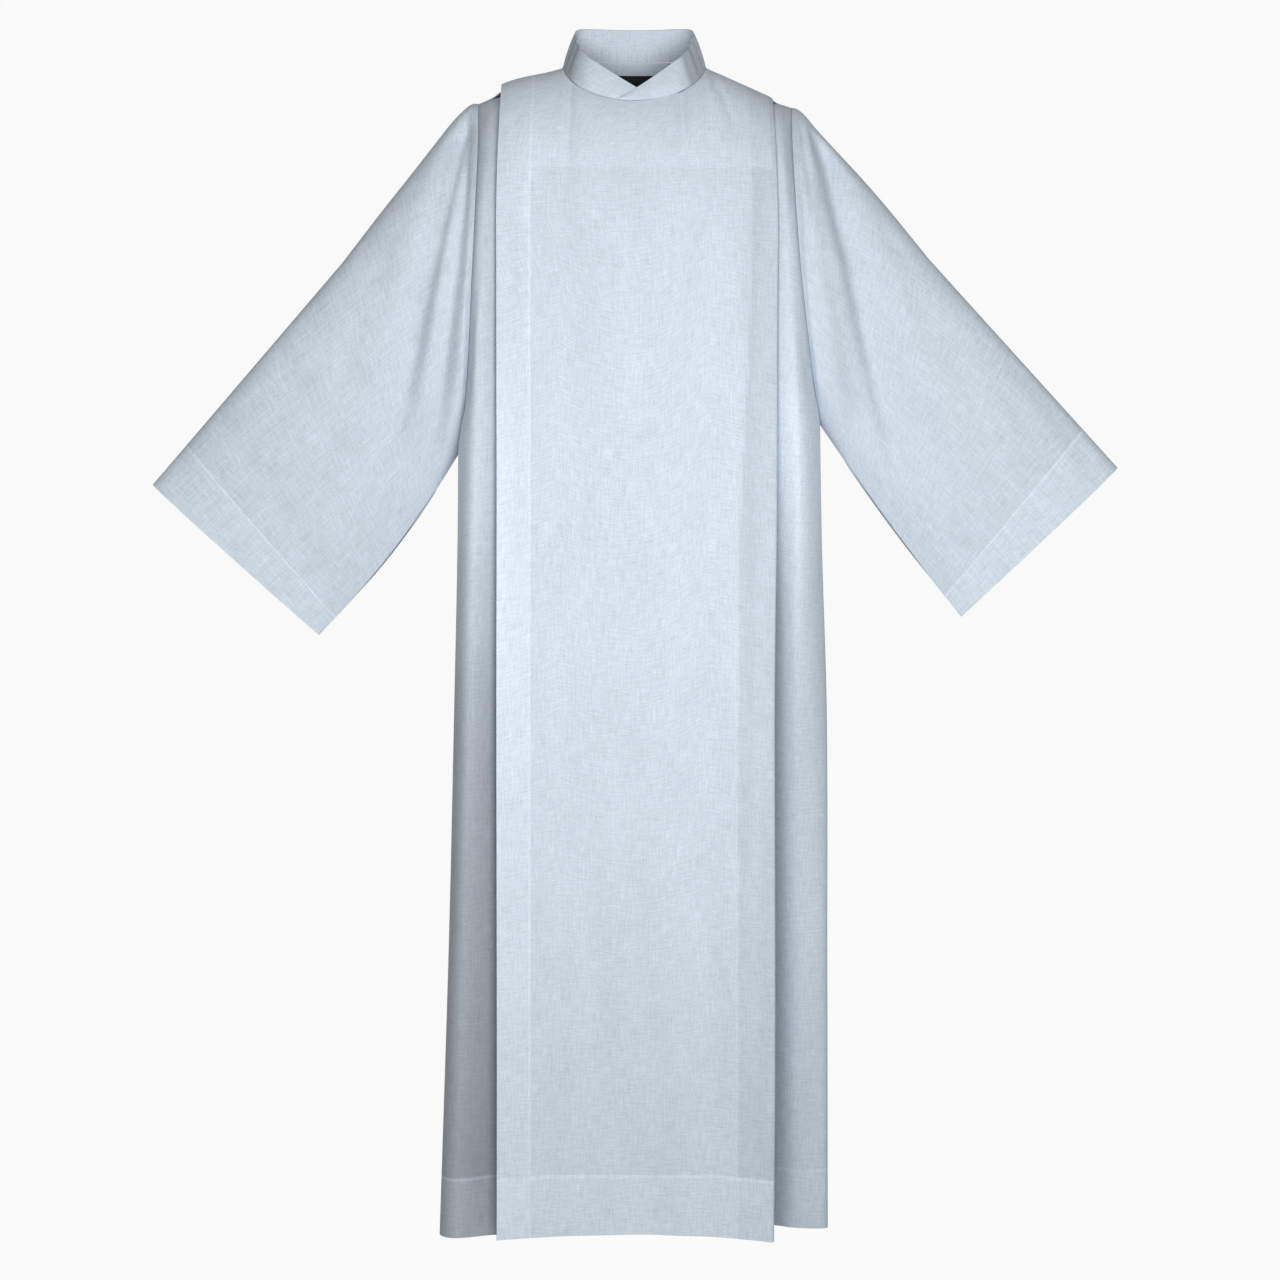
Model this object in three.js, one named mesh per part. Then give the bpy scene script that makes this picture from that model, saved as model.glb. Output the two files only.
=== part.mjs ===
// Wrap alb: a long, wide-sleeved white robe that closes by lapping one front over the other.
// It is shown filled out, as worn, with nobody in it: every panel is a thin wall of cloth, and
// the neck, both cuffs and the hem are open.
//
// Frame, in millimetres: the origin lies inside the neck, level with the two points where the
// shoulder seams meet the collar. +X is the wearer's left, +Y is behind the wearer, +Z is up.
// The wearer's left front is the outer one. It laps across to the wearer's right (-X).

import * as THREE from "three";

// Driving sizes
const HEM_Z = -1442;
const HEM_RISE = 4;
const HEM_DEPTH = 73;
const CUFF_HEM_DEPTH = 66;
const WALL = 1.6;
const HEM_EXTRA = 1.0;
const SEAM_GAP = 0.4;
const LEFT = 1;
const RIGHT = -1;
const FRONT = -1;
const BACK = 1;

const NECK = {
  halfWidth: 89,
  front: 70,
  back: 64,
  frontDrop: 52,
  backRise: 16.5,
  backFlatness: 2.2,
};
const SHOULDER = {
  slopeLeft: 0.45,
  slopeRight: 0.385,
  roundFrom: 185,
  roundness: 0.012,
};

// How far the cloth of the body stands from the middle plane, at the middle and at the pleats
const FRONT_DEPTH = [
  { z: 0, middle: 116, right: 86, left: 86 },
  { z: -230, middle: 118, right: 97, left: 99 },
  { z: -440, middle: 120, right: 112, left: 114 },
  { z: -700, middle: 120, right: 122, left: 126 },
  { z: -1000, middle: 119, right: 129, left: 136 },
  { z: -1300, middle: 118, right: 133, left: 143 },
  { z: -1442, middle: 117, right: 135, left: 146 },
];
const BACK_DEPTH = [
  { z: 0, middle: 100, right: 84, left: 84 },
  { z: -200, middle: 106, right: 96, left: 96 },
  { z: -440, middle: 104, right: 102, left: 102 },
  { z: -700, middle: 106, right: 110, left: 110 },
  { z: -1000, middle: 110, right: 118, left: 118 },
  { z: -1442, middle: 116, right: 128, left: 128 },
];
// Height at which the cloth has come forward, or back, as far as the chest or shoulder blades
const FULL_DEPTH_Z = { middle: -232, side: -188 };
// Place across the chest that counts as the edge of the body's face, and how sharply the depth
// passes from the middle's to that of the edge
const FACE_EDGE = 175;
const FACE_TURN = 2.2;
// Drop within which a column has moved from its place on the shoulder to its place on the chest
const COLUMN_SETTLES = 190;
// How square the curve over the shoulder is, 2 being an ellipse
const SQUARENESS = { front: 2, back: 2.6 };

// A panel's columns are named by the place where they cross the chest. Those inside NECK_REACH
// end on the neckline, and the others on the shoulder seam.
const NECK_REACH = 92;
const SHOULDER_NARROWING = 0.955;
const WRAP_EDGE = -172;
const WRAP_FOLD = 180;
const UNDER_FOLD = -166;
const BACK_SIDE_FROM = 175;
const OUTERMOST_X = 240;

// How the places of the wrap's free edge and folds wander from their columns on the way down
const DRIFT = [
  { z: 0, right: 0, left: 0 },
  { z: -110, right: 1, left: -1 },
  { z: -190, right: 3, left: -3 },
  { z: -340, right: 4, left: -5 },
  { z: -545, right: 5, left: -6 },
  { z: -790, right: 5, left: -9 },
  { z: -1200, right: 6, left: -9 },
  { z: -1442, right: 6, left: -11 },
];

// Free edge of the under front, hidden behind the wrap beside its pleat
const UNDER_EDGE = [
  { z: 0, x: 146 },
  { z: -250, x: 146 },
  { z: -442, x: 138 },
  { z: -600, x: 131 },
  { z: -1442, x: 129 },
];

// The pleat at the side of each front, by height: where its hidden fold turns back, where the
// cloth lies deepest behind the panel, and where the side strip comes forward again. A gap is
// how far that cloth lies behind the panel's face.
const SIDE_PLEATS = {
  left: [
    { z: 0, turnX: 157, turnGap: 7, recessX: 167, recessGap: 10.5, stripX: 186, stripGap: 4 },
    { z: -90, turnX: 157, turnGap: 7, recessX: 167, recessGap: 11, stripX: 187, stripGap: 6 },
    { z: -150, turnX: 156, turnGap: 8, recessX: 167, recessGap: 13, stripX: 189, stripGap: 8 },
    { z: -250, turnX: 155, turnGap: 9, recessX: 166, recessGap: 16, stripX: 193, stripGap: 11 },
    { z: -342, turnX: 151, turnGap: 10, recessX: 164, recessGap: 21, stripX: 200, stripGap: 15 },
    { z: -442, turnX: 147, turnGap: 11, recessX: 162, recessGap: 30, stripX: 207, stripGap: 20 },
    { z: -600, turnX: 142, turnGap: 12, recessX: 160, recessGap: 58, stripX: 209, stripGap: 40 },
    { z: -900, turnX: 140, turnGap: 13, recessX: 162, recessGap: 94, stripX: 210, stripGap: 74 },
    { z: -1200, turnX: 140, turnGap: 14, recessX: 165, recessGap: 112, stripX: 211, stripGap: 90 },
    { z: -1442, turnX: 140, turnGap: 15, recessX: 168, recessGap: 124, stripX: 212, stripGap: 100 },
  ],
  right: [
    { z: 0, turnX: 132, turnGap: 7, recessX: 146, recessGap: 10.5, stripX: 182, stripGap: 4 },
    { z: -90, turnX: 134, turnGap: 7, recessX: 148, recessGap: 12, stripX: 185, stripGap: 8 },
    { z: -150, turnX: 134, turnGap: 8, recessX: 150, recessGap: 15, stripX: 187, stripGap: 10 },
    { z: -250, turnX: 134, turnGap: 9, recessX: 152, recessGap: 17, stripX: 190, stripGap: 10 },
    { z: -342, turnX: 134, turnGap: 9, recessX: 154, recessGap: 19, stripX: 196, stripGap: 11 },
    { z: -477, turnX: 133, turnGap: 10, recessX: 156, recessGap: 22, stripX: 201, stripGap: 12 },
    { z: -600, turnX: 132, turnGap: 10, recessX: 158, recessGap: 24, stripX: 204, stripGap: 13 },
    { z: -900, turnX: 131, turnGap: 11, recessX: 164, recessGap: 28, stripX: 211, stripGap: 15 },
    { z: -1200, turnX: 130, turnGap: 12, recessX: 170, recessGap: 32, stripX: 219, stripGap: 16 },
    { z: -1442, turnX: 130, turnGap: 12, recessX: 174, recessGap: 36, stripX: 225, stripGap: 18 },
  ],
};
// Where the back turns towards the side, by height
const BACK_SIDE = [
  { z: 0, stripX: 184, stripGap: 2 },
  { z: -150, stripX: 187, stripGap: 8 },
  { z: -342, stripX: 197, stripGap: 14 },
  { z: -600, stripX: 207, stripGap: 20 },
  { z: -900, stripX: 212, stripGap: 25 },
  { z: -1442, stripX: 217, stripGap: 32 },
];

// The rounded side of the body below each underarm: its widest place in front of the seam, the
// seam, and the widest place behind it
const BODY_SIDE = {
  left: [
    { z: -442, frontX: 230, frontY: -30, seamX: 229, backX: 228, backY: 38 },
    { z: -600, frontX: 232, frontY: -34, seamX: 231, backX: 232, backY: 48 },
    { z: -800, frontX: 237, frontY: -38, seamX: 235, backX: 237, backY: 58 },
    { z: -1100, frontX: 237, frontY: -42, seamX: 235, backX: 238, backY: 66 },
    { z: -1442, frontX: 237, frontY: -46, seamX: 235, backX: 238, backY: 72 },
  ],
  right: [
    { z: -477, frontX: 217, frontY: -50, seamX: 216, backX: 218, backY: 38 },
    { z: -600, frontX: 217, frontY: -64, seamX: 216, backX: 219, backY: 48 },
    { z: -800, frontX: 220, frontY: -78, seamX: 219, backX: 222, backY: 58 },
    { z: -1100, frontX: 226, frontY: -90, seamX: 224, backX: 228, backY: 66 },
    { z: -1442, frontX: 236, frontY: -98, seamX: 233, backX: 236, backY: 72 },
  ],
};

// Share of the way from the side strip to the armhole where the cloth is widest, how far it
// puffs out there, in full from a share of the drop on, and how far above and below an underarm
// the armhole's shape passes into that of the side
const ARMHOLE_BULGE_SHARE = 0.62;
const ARMHOLE_PUFF = { height: 4.5, fullFrom: 0.03 };
const SIDE_BLEND = { above: 75, length: 85 };

// Each armhole from the shoulder (share 0) to the underarm (share 1)
const ARMHOLES = {
  left: { topZ: -50, underarmZ: -442, halfDepth: 74 },
  right: { topZ: -45, underarmZ: -477, halfDepth: 74 },
};
const ARMHOLE_X = [
  { share: 0, left: 196, right: 194 },
  { share: 0.12, left: 195, right: 193 },
  { share: 0.35, left: 199, right: 196 },
  { share: 0.55, left: 205, right: 200 },
  { share: 0.8, left: 217, right: 206 },
  { share: 1, left: 229, right: 216 },
];
const ARMHOLE_ROUNDNESS = 0.55;

// Sleeves: the two corners of each cuff as seen from the front, the middle of its thickness, and
// how far its lower edge sags
const SLEEVES = {
  left: { topX: 603, topZ: -500, lowX: 408, lowZ: -686, middleY: -4, sag: 4 },
  right: { topX: 601, topZ: -521, lowX: 394, lowZ: -709, middleY: -4, sag: 10 },
};
// How far the gathered head of each sleeve stands up over the line from shoulder to cuff
const SLEEVE_HEAD = [
  { along: 0, left: 0, right: 0 },
  { along: 0.01, left: 4, right: 6 },
  { along: 0.03, left: 6, right: 9 },
  { along: 0.065, left: 5, right: 10.5 },
  { along: 0.12, left: 5, right: 9 },
  { along: 0.2, left: 5.5, right: 6.5 },
  { along: 0.3, left: 4, right: 4 },
  { along: 0.42, left: 0, right: 0 },
];
const HEAD_DIRECTION = { out: 0.62, up: 0.78 };
const SAG_DIRECTION = { in: 0.8, down: 0.6 };
// Shares of a sleeve's length within which it leaves the armhole's shape and its folds begin,
// and how near a fold may come to the middle of its thickness
const SLEEVE_OPENS = 0.3;
const SLEEVE_FOLDS_OPEN = 0.05;
const SLEEVE_LEAST_HALF_DEPTH = 5;
const SLEEVE_HALF_DEPTH = [
  { along: 0, depth: 66 },
  { along: 0.12, depth: 58 },
  { along: 0.35, depth: 46 },
  { along: 0.7, depth: 36 },
  { along: 1, depth: 30 },
];
// Shape of its section: how full it is, and how round its upper and its lower edge are
const SLEEVE_FULLNESS = 2.28;
const SLEEVE_EDGE_POWER = 0.4;
const SLEEVE_LOW_EDGE_ROUNDING = 8;
// How far the sleeve puffs out beside the armhole's seam, and over which shares of its length
const SLEEVE_PUFF = { height: 6, rises: 0.028, lasts: 0.05, length: 0.3 };

// Largest folds. Each runs on a curve through three places seen from the front (or the back),
// and pushes the cloth in (or out, where depth is negative) by its depth, coming in over its
// fade. With a skew it is wider on the wearer's left of its line than on the right, and with a
// spread it is narrower at the top than at the bottom.
const BODY_FOLDS = {
  front: [
    { x0: -112, z0: -120, x1: -76, z1: -430, x2: -48, z2: -1330, width: 34, depth: 6, fade: 90 },
    { x0: 132, z0: -110, x1: 128, z1: -520, x2: 118, z2: -1250, width: 22, depth: -4, fade: 90 },
    { x0: 156, z0: -150, x1: 152, z1: -560, x2: 150, z2: -1250, width: 16, depth: 4, fade: 90 },
  ],
  back: [
    { x0: -158, z0: -80, x1: -160, z1: -700, x2: -164, z2: -1530, width: 20, depth: 34, fade: 620 },
    { x0: -62, z0: -110, x1: -66, z1: -700, x2: -62, z2: -1530, width: 34, depth: 13, fade: 420 },
    { x0: 58, z0: -110, x1: 62, z1: -700, x2: 66, z2: -1530, width: 34, depth: 13, fade: 420 },
    { x0: 158, z0: -80, x1: 160, z1: -700, x2: 164, z2: -1530, width: 20, depth: 34, fade: 620 },
  ],
};
const SLEEVE_FOLDS = {
  left: [
    {
      ...{ x0: 226, z0: -86, x1: 263, z1: -245, x2: 326, z2: -490 },
      ...{ width: 16, depth: 20, fade: 60, skew: 1.8, spread: 1.45 },
    },
    { x0: 214, z0: -130, x1: 226, z1: -250, x2: 262, z2: -430, width: 10, depth: -3, fade: 90 },
  ],
  right: [
    {
      ...{ x0: -211, z0: -80, x1: -246, z1: -245, x2: -300, z2: -470 },
      ...{ width: 16, depth: 19, fade: 60, skew: 0.56, spread: 1.6 },
    },
    {
      ...{ x0: -202, z0: -84, x1: -218, z1: -245, x2: -245, z2: -460 },
      ...{ width: 12, depth: 17, fade: 50, skew: 0.85, spread: 1.2 },
    },
  ],
};

// Collar: a band of even height that leans in, and whose two ends run down to points that cross
const COLLAR = {
  height: 39,
  lean: 14,
  wall: 2,
  clear: 0.6,
  slantFrom: 60,
  underTipPast: 25,
  overTipPast: 17,
  tipHeight: 2.5,
  cross: 2.8,
};
const NECK_TAPE = { depth: 13, wall: 0.8, gap: 1.4, reach: 64 };

// Facings inside the wrap: a strip along its free edge, and a shallow yoke under the neck
const FACING = { wall: 0.9, gap: 0.4, yokeGap: 1.6, stripWidth: 44 };
// How far the under front lies behind the face of the wrap, and how far the wrap's corner lifts
const LAYER_GAP = 5.6;
const CORNER_LIFT = { height: 9, fromX: -90, width: 75, untilRow: 2, fadeRows: 5 };

// Rows of every body panel, as shares of the armhole and then of the drop below it
const ARMHOLE_ROWS = [0, 0.01, 0.035, 0.09, 0.222, 0.34, 0.46, 0.58, 0.7, 0.82, 0.92, 1];
const YOKE_ROW = 4;
const DROP_ROWS = [0.07, 0.18, 0.33, 0.49, 0.65, 0.81];
const HEM_STEP = 0.6;
const DROP_LENGTH = 1400;
// Columns of the plain part of a body panel: round the neckline, in degrees from its middle,
// where the collar's columns meet them, and then along the shoulder, as places across the chest
const NECK_TURNS = [0, 13, 26, 39, 52, 65, 77, 85.5, 90];
const SHOULDER_COLUMNS = [98, 110, 127, 149, 164];
// Places down a sleeve, which take in those of the armhole's rows
const SLEEVE_SHARES = [
  0, 0.01, 0.035, 0.09, 0.16, 0.222, 0.28, 0.34, 0.4, 0.46, 0.52, 0.58, 0.64, 0.7, 0.82, 0.92, 1,
];
// Stations along a sleeve, as shares of its length, up to the fold of its hem
const SLEEVE_STATIONS = [0, 0.01, 0.03, 0.065, 0.105, 0.15, 0.2, 0.27, 0.37, 0.49, 0.62, 0.75];

const neckPlaces = [
  ...NECK_TURNS.slice(1).map((turn) => (-turn / 90) * NECK_REACH).reverse(),
  ...NECK_TURNS.map((turn) => (turn / 90) * NECK_REACH),
];
const CHEST_COLUMNS = [
  WRAP_EDGE,
  ...SHOULDER_COLUMNS.map((x) => -x).reverse(),
  ...neckPlaces,
  ...SHOULDER_COLUMNS,
];

const smooth = (t) => {
  const c = Math.min(1, Math.max(0, t));
  return c * c * (3 - 2 * c);
};
const mix = (a, b, t) => a + (b - a) * t;
const sideName = (side) => (side === LEFT ? "left" : "right");

// A smooth curve through one column of a table, read at a value of its key column
function readTable(table, key, column, at) {
  const descending = table[0][key] > table[table.length - 1][key];
  const sign = descending ? -1 : 1;
  const place = Math.min(
    Math.max(at * sign, table[0][key] * sign),
    table[table.length - 1][key] * sign,
  );
  let row = 0;
  while (row < table.length - 2 && place > table[row + 1][key] * sign) row += 1;
  const slopeAt = (i) => {
    const low = table[Math.max(0, i - 1)];
    const high = table[Math.min(table.length - 1, i + 1)];
    return (high[column] - low[column]) / ((high[key] - low[key]) * sign);
  };
  const start = table[row];
  const end = table[row + 1];
  const span = (end[key] - start[key]) * sign;
  const t = (place - start[key] * sign) / span;
  const t2 = t * t;
  const t3 = t2 * t;
  return (
    (2 * t3 - 3 * t2 + 1) * start[column] +
    (t3 - 2 * t2 + t) * span * slopeAt(row) +
    (3 * t2 - 2 * t3) * end[column] +
    (t3 - t2) * span * slopeAt(row + 1)
  );
}

// Height of the shoulder seam
function ridgeZ(x) {
  const out = Math.abs(x);
  const slope = x > 0 ? SHOULDER.slopeLeft : SHOULDER.slopeRight;
  const droop = SHOULDER.roundness * Math.max(0, out - SHOULDER.roundFrom) ** 2;
  return -slope * Math.max(0, out - NECK.halfWidth) - droop;
}

// Upper end of the column that crosses the chest at a place: on the neckline or shoulder seam
function columnTop(chestX, facing) {
  const out = Math.abs(chestX);
  const sign = Math.sign(chestX) || 1;
  if (out >= NECK_REACH) {
    const x = sign * (NECK.halfWidth + (out - NECK_REACH) * SHOULDER_NARROWING);
    return new THREE.Vector3(x, 0, ridgeZ(x));
  }
  const turn = (out / NECK_REACH) * (Math.PI / 2);
  const around = Math.cos(turn);
  const x = sign * NECK.halfWidth * Math.sin(turn);
  if (facing === FRONT) {
    return new THREE.Vector3(x, -NECK.front * around ** 0.5, -NECK.frontDrop * around ** 1.05);
  }
  const behind = around ** 0.7;
  const rise = 1 - (1 - behind) ** NECK.backFlatness;
  return new THREE.Vector3(x, NECK.back * behind, NECK.backRise * rise);
}

// Push of one fold at a place seen from the front
function foldPush(fold, x, z) {
  const middle = (a, b, c, t) => (1 - t) * (1 - t) * a + 2 * t * (1 - t) * b + t * t * c;
  const viaX = 2 * fold.x1 - (fold.x0 + fold.x2) / 2;
  const viaZ = 2 * fold.z1 - (fold.z0 + fold.z2) / 2;
  // The curve's parameter at this height, since every fold runs steadily down
  let low = 0;
  let high = 1;
  for (let step = 0; step < 18; step += 1) {
    const half = (low + high) / 2;
    if (middle(fold.z0, viaZ, fold.z2, half) > z) low = half;
    else high = half;
  }
  const t = (low + high) / 2;
  const { skew = 1, spread = 1 } = fold;
  const across = x - middle(fold.x0, viaX, fold.x2, t);
  const width = fold.width * spread ** (2 * t - 1) * (across > 0 ? skew : 1 / skew);
  const ends = smooth((fold.z0 + 40 - z) / fold.fade) * smooth((z - fold.z2 + 60) / 160);
  return fold.depth * ends * Math.exp(-((across / width) ** 2));
}
const foldPushes = (folds, x, z) => folds.reduce((sum, fold) => sum + foldPush(fold, x, z), 0);

// A place on the plain face of the body. chestX names the column, drop runs from 0 at its upper
// end to 1 at the hem, and gap is how far this cloth lies inside the garment's own face. From
// the seam down to the chest the face curves over like an ellipse, then it is near upright.
function bodyPoint(chestX, drop, facing, gap) {
  const top = columnTop(chestX, facing);
  const within = Math.min(1, Math.abs(chestX) / FACE_EDGE);
  const towardsEdge = within ** FACE_TURN;
  const depths = facing === FRONT ? FRONT_DEPTH : BACK_DEPTH;
  const edgeName = chestX > 0 ? "left" : "right";
  const depthAt = (z) =>
    mix(readTable(depths, "z", "middle", z), readTable(depths, "z", edgeName, z), towardsEdge);
  const rise = facing === FRONT ? HEM_RISE * (1 - within * within) : 0;
  const height = mix(top.z, HEM_Z + rise, drop);
  const fullZ = mix(FULL_DEPTH_Z.middle, FULL_DEPTH_Z.side, within);
  const power = facing === FRONT ? SQUARENESS.front : SQUARENESS.back;
  const otherPart = (part) => (1 - part ** power) ** (1 / power);
  const radius = (top.z - fullZ) / otherPart(Math.min(0.95, Math.abs(top.y) / depthAt(top.z)));
  const upPart = Math.min(1, Math.max(0, (height - fullZ) / radius));
  const y = facing * (depthAt(height) - gap) * otherPart(upPart);
  const z = height > fullZ ? fullZ + (radius - gap) * upPart : height;
  const drift = facing === FRONT ? readTable(DRIFT, "z", edgeName, height) * within ** 3 : 0;
  const x = mix(top.x, chestX, smooth((top.z - height) / COLUMN_SETTLES)) + drift;
  const folds = facing === FRONT ? BODY_FOLDS.front : BODY_FOLDS.back;
  return new THREE.Vector3(x, y - facing * foldPushes(folds, x, height), z);
}

// The armhole, and below it the side seam, at a height
function endPoint(side, facing, drop) {
  const hole = ARMHOLES[sideName(side)];
  const z = mix(hole.topZ, HEM_Z, drop);
  const share = (hole.topZ - z) / (hole.topZ - hole.underarmZ);
  if (share < 1) {
    const x = readTable(ARMHOLE_X, "share", sideName(side), share);
    const y = hole.halfDepth * Math.sin(Math.PI * Math.max(0, share)) ** ARMHOLE_ROUNDNESS;
    return new THREE.Vector3(side * x, facing * (y + SEAM_GAP / 2), z);
  }
  const x = readTable(BODY_SIDE[sideName(side)], "z", "seamX", z);
  return new THREE.Vector3(side * x, (facing * SEAM_GAP) / 2, z);
}

// Shares of the drop for the rows. The two armholes reach down differently, so a row is level
// only if its share is taken between the two sides'.
function dropOfRow(row, x) {
  const shareOf = (name) => {
    const hole = ARMHOLES[name];
    const underarm = (hole.topZ - hole.underarmZ) / (hole.topZ - HEM_Z);
    const hemFold = 1 - HEM_DEPTH / (hole.topZ - HEM_Z);
    const below = [
      ...DROP_ROWS.map((share) => mix(underarm, 1, share)),
      hemFold - HEM_STEP / DROP_LENGTH,
      hemFold + HEM_STEP / DROP_LENGTH,
      1,
    ];
    return row < ARMHOLE_ROWS.length
      ? ARMHOLE_ROWS[row] * underarm
      : below[row - ARMHOLE_ROWS.length];
  };
  const across = smooth((x + OUTERMOST_X) / (2 * OUTERMOST_X));
  return mix(shareOf("right"), shareOf("left"), across);
}
const ROW_COUNT = ARMHOLE_ROWS.length + DROP_ROWS.length + 3;
const FIRST_HEM_ROW = ROW_COUNT - 2;

// Columns of the pleat and side strip of a front at one row, from its fold out to the armhole
// or side seam. faceGap is how far the panel's own face lies inside the garment's.
function pleatColumns(side, row, foldX, faceGap) {
  const pleats = SIDE_PLEATS[sideName(side)];
  const drop = dropOfRow(row, side * foldX);
  const height = bodyPoint(side * foldX, drop, FRONT, 0).z;
  const read = (column) => readTable(pleats, "z", column, height);
  const at = (x, gap) => bodyPoint(side * x, drop, FRONT, gap);
  const turnX = read("turnX");
  const turnGap = faceGap + read("turnGap");
  const recessGap = faceGap + read("recessGap");
  const afterTurn = Math.max(turnGap + 3.5, mix(turnGap + 3.5, recessGap, 0.3));
  const strip = at(read("stripX"), read("stripGap"));
  const [widest, end] = sideCorner(side, row, FRONT, strip);
  const control = [
    at(foldX - 5, faceGap),
    at(foldX - 1, mix(faceGap, turnGap, 0.16)),
    at(foldX, mix(faceGap, turnGap, 0.5)),
    at(foldX - 1, mix(faceGap, turnGap, 0.84)),
    at(foldX - 5, turnGap),
    at(turnX + 5, turnGap),
    at(turnX + 0.8, mix(turnGap, afterTurn, 0.2)),
    at(turnX + 0.8, mix(turnGap, afterTurn, 0.8)),
    at(turnX + 5, afterTurn),
    at(read("recessX"), recessGap),
    strip,
    widest,
    end,
  ];
  return sampleCurve(control, [0, 1, 2, 3, 4, 5, 6, 7, 8, 9, 9.5, 10, 10.5, 11, 11.5, 12]);
}

// Columns at one side of the back, from a place on its face out to the armhole or side seam
function backSideColumns(side, row, faceX) {
  const drop = dropOfRow(row, side * faceX);
  const height = bodyPoint(side * faceX, drop, BACK, 0).z;
  const read = (column) => readTable(BACK_SIDE, "z", column, height);
  const strip = bodyPoint(side * read("stripX"), drop, BACK, read("stripGap"));
  const control = [
    bodyPoint(side * faceX, drop, BACK, 0),
    strip,
    ...sideCorner(side, row, BACK, strip),
  ];
  return sampleCurve(control, [0, 0.5, 1, 1.5, 2, 2.5, 3]);
}

// The widest place of the body's side at a row, and the end of the panel on its armhole or seam
function sideCorner(side, row, facing, strip) {
  const end = endPoint(side, facing, dropOfRow(row, side * OUTERMOST_X));
  const body = BODY_SIDE[sideName(side)];
  const prefix = facing === FRONT ? "front" : "back";
  const blendFrom = ARMHOLES[sideName(side)].underarmZ + SIDE_BLEND.above;
  const belowHole = smooth((blendFrom - end.z) / SIDE_BLEND.length);
  const widest = strip.clone().lerp(end, ARMHOLE_BULGE_SHARE);
  const drop = dropOfRow(row, side * OUTERMOST_X);
  widest.y += facing * ARMHOLE_PUFF.height * Math.min(1, drop / ARMHOLE_PUFF.fullFrom);
  const sideX = side * readTable(body, "z", `${prefix}X`, end.z);
  const sideY = readTable(body, "z", `${prefix}Y`, end.z);
  widest.x = mix(widest.x, sideX, belowHole);
  widest.y = mix(widest.y, sideY, belowHole);
  return [widest, end];
}

function sampleCurve(control, places) {
  const curve = new THREE.CatmullRomCurve3(control, false, "centripetal");
  return places.map((place) => curve.getPoint(place / (control.length - 1)));
}

// A closed wall of cloth from rows of points on its outer face. thickness gives the wall at a
// row. Rows may close into rings.
function clothWall(rows, thickness, options = {}) {
  const ring = options.ring === true;
  const rowCount = rows.length;
  const columns = rows[0].length;
  const wrap = (c) => (ring ? (c + columns) % columns : Math.min(columns - 1, Math.max(0, c)));
  const normalAt = (r, c) => {
    const along = rows[Math.min(rowCount - 1, r + 1)][c].clone();
    along.sub(rows[Math.max(0, r - 1)][c]);
    const across = rows[r][wrap(c + 1)].clone().sub(rows[r][wrap(c - 1)]);
    return across.cross(along).normalize();
  };
  const outer = rows.flat();
  const inner = rows.flatMap((line, r) =>
    line.map((point, c) => {
      const inside = point.clone().addScaledVector(normalAt(r, c), thickness(r, c));
      return options.adjustInner ? options.adjustInner(inside, r, c) : inside;
    }),
  );
  const positions = [...outer, ...inner].flatMap((p) => [p.x, p.y, p.z]);
  const offset = outer.length;
  const index = [];
  const quad = (a, b, c, d) => index.push(a, b, c, a, c, d);
  const at = (r, c) => r * columns + wrap(c);
  const spans = ring ? columns : columns - 1;
  for (let r = 0; r < rowCount - 1; r += 1) {
    for (let c = 0; c < spans; c += 1) {
      quad(at(r, c), at(r + 1, c), at(r + 1, c + 1), at(r, c + 1));
      quad(
        offset + at(r, c),
        offset + at(r, c + 1),
        offset + at(r + 1, c + 1),
        offset + at(r + 1, c),
      );
    }
    if (!ring) {
      const end = columns - 1;
      quad(at(r, 0), offset + at(r, 0), offset + at(r + 1, 0), at(r + 1, 0));
      quad(at(r, end), at(r + 1, end), offset + at(r + 1, end), offset + at(r, end));
    }
  }
  const low = rowCount - 1;
  for (let c = 0; c < spans; c += 1) {
    quad(at(0, c), at(0, c + 1), offset + at(0, c + 1), offset + at(0, c));
    quad(at(low, c), offset + at(low, c), offset + at(low, c + 1), at(low, c + 1));
  }
  const geometry = new THREE.BufferGeometry();
  geometry.setAttribute("position", new THREE.Float32BufferAttribute(positions, 3));
  geometry.setIndex(signedVolume(positions, index) < 0 ? index.reverse() : index);
  geometry.computeVertexNormals();
  return geometry;
}

function signedVolume(positions, index) {
  const corner = (i) => new THREE.Vector3().fromArray(positions, index[i] * 3);
  let volume = 0;
  for (let i = 0; i < index.length; i += 3) {
    volume += corner(i).dot(corner(i + 1).cross(corner(i + 2)));
  }
  return volume / 6;
}

// At the shoulder, where the wrap's loose corner lies on the front below it, the wrap stands a
// little proud and the front below it comes up to meet the back
function liftShare(chestX, row) {
  const across = smooth((CORNER_LIFT.fromX - chestX) / CORNER_LIFT.width);
  return across * (1 - smooth((row - CORNER_LIFT.untilRow) / CORNER_LIFT.fadeRows));
}

const wrapGap = (chestX, row) => -CORNER_LIFT.height * liftShare(chestX, row);
const underGap = (chestX, row) => LAYER_GAP * (1 - liftShare(chestX, row));

// Rows of a panel. Its top row keeps to its own side of the shoulder seam.
function panelRows(facing, makeRow, rowCount = ROW_COUNT) {
  return Array.from({ length: rowCount }, (_, row) =>
    makeRow(row).map((point) => keepToSide(point, facing)),
  );
}

function keepToSide(point, facing) {
  point.y = facing * Math.max(SEAM_GAP / 2, facing * point.y);
  return point;
}

function panelWall(facing, rows, thickness) {
  return clothWall(rows, thickness, { adjustInner: (point) => keepToSide(point, facing) });
}

const hemThickness = (row) => (row >= FIRST_HEM_ROW ? WALL + HEM_EXTRA : WALL);
const placeOnFront = (x, row, gap) => bodyPoint(x, dropOfRow(row, x), FRONT, gap);

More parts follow.
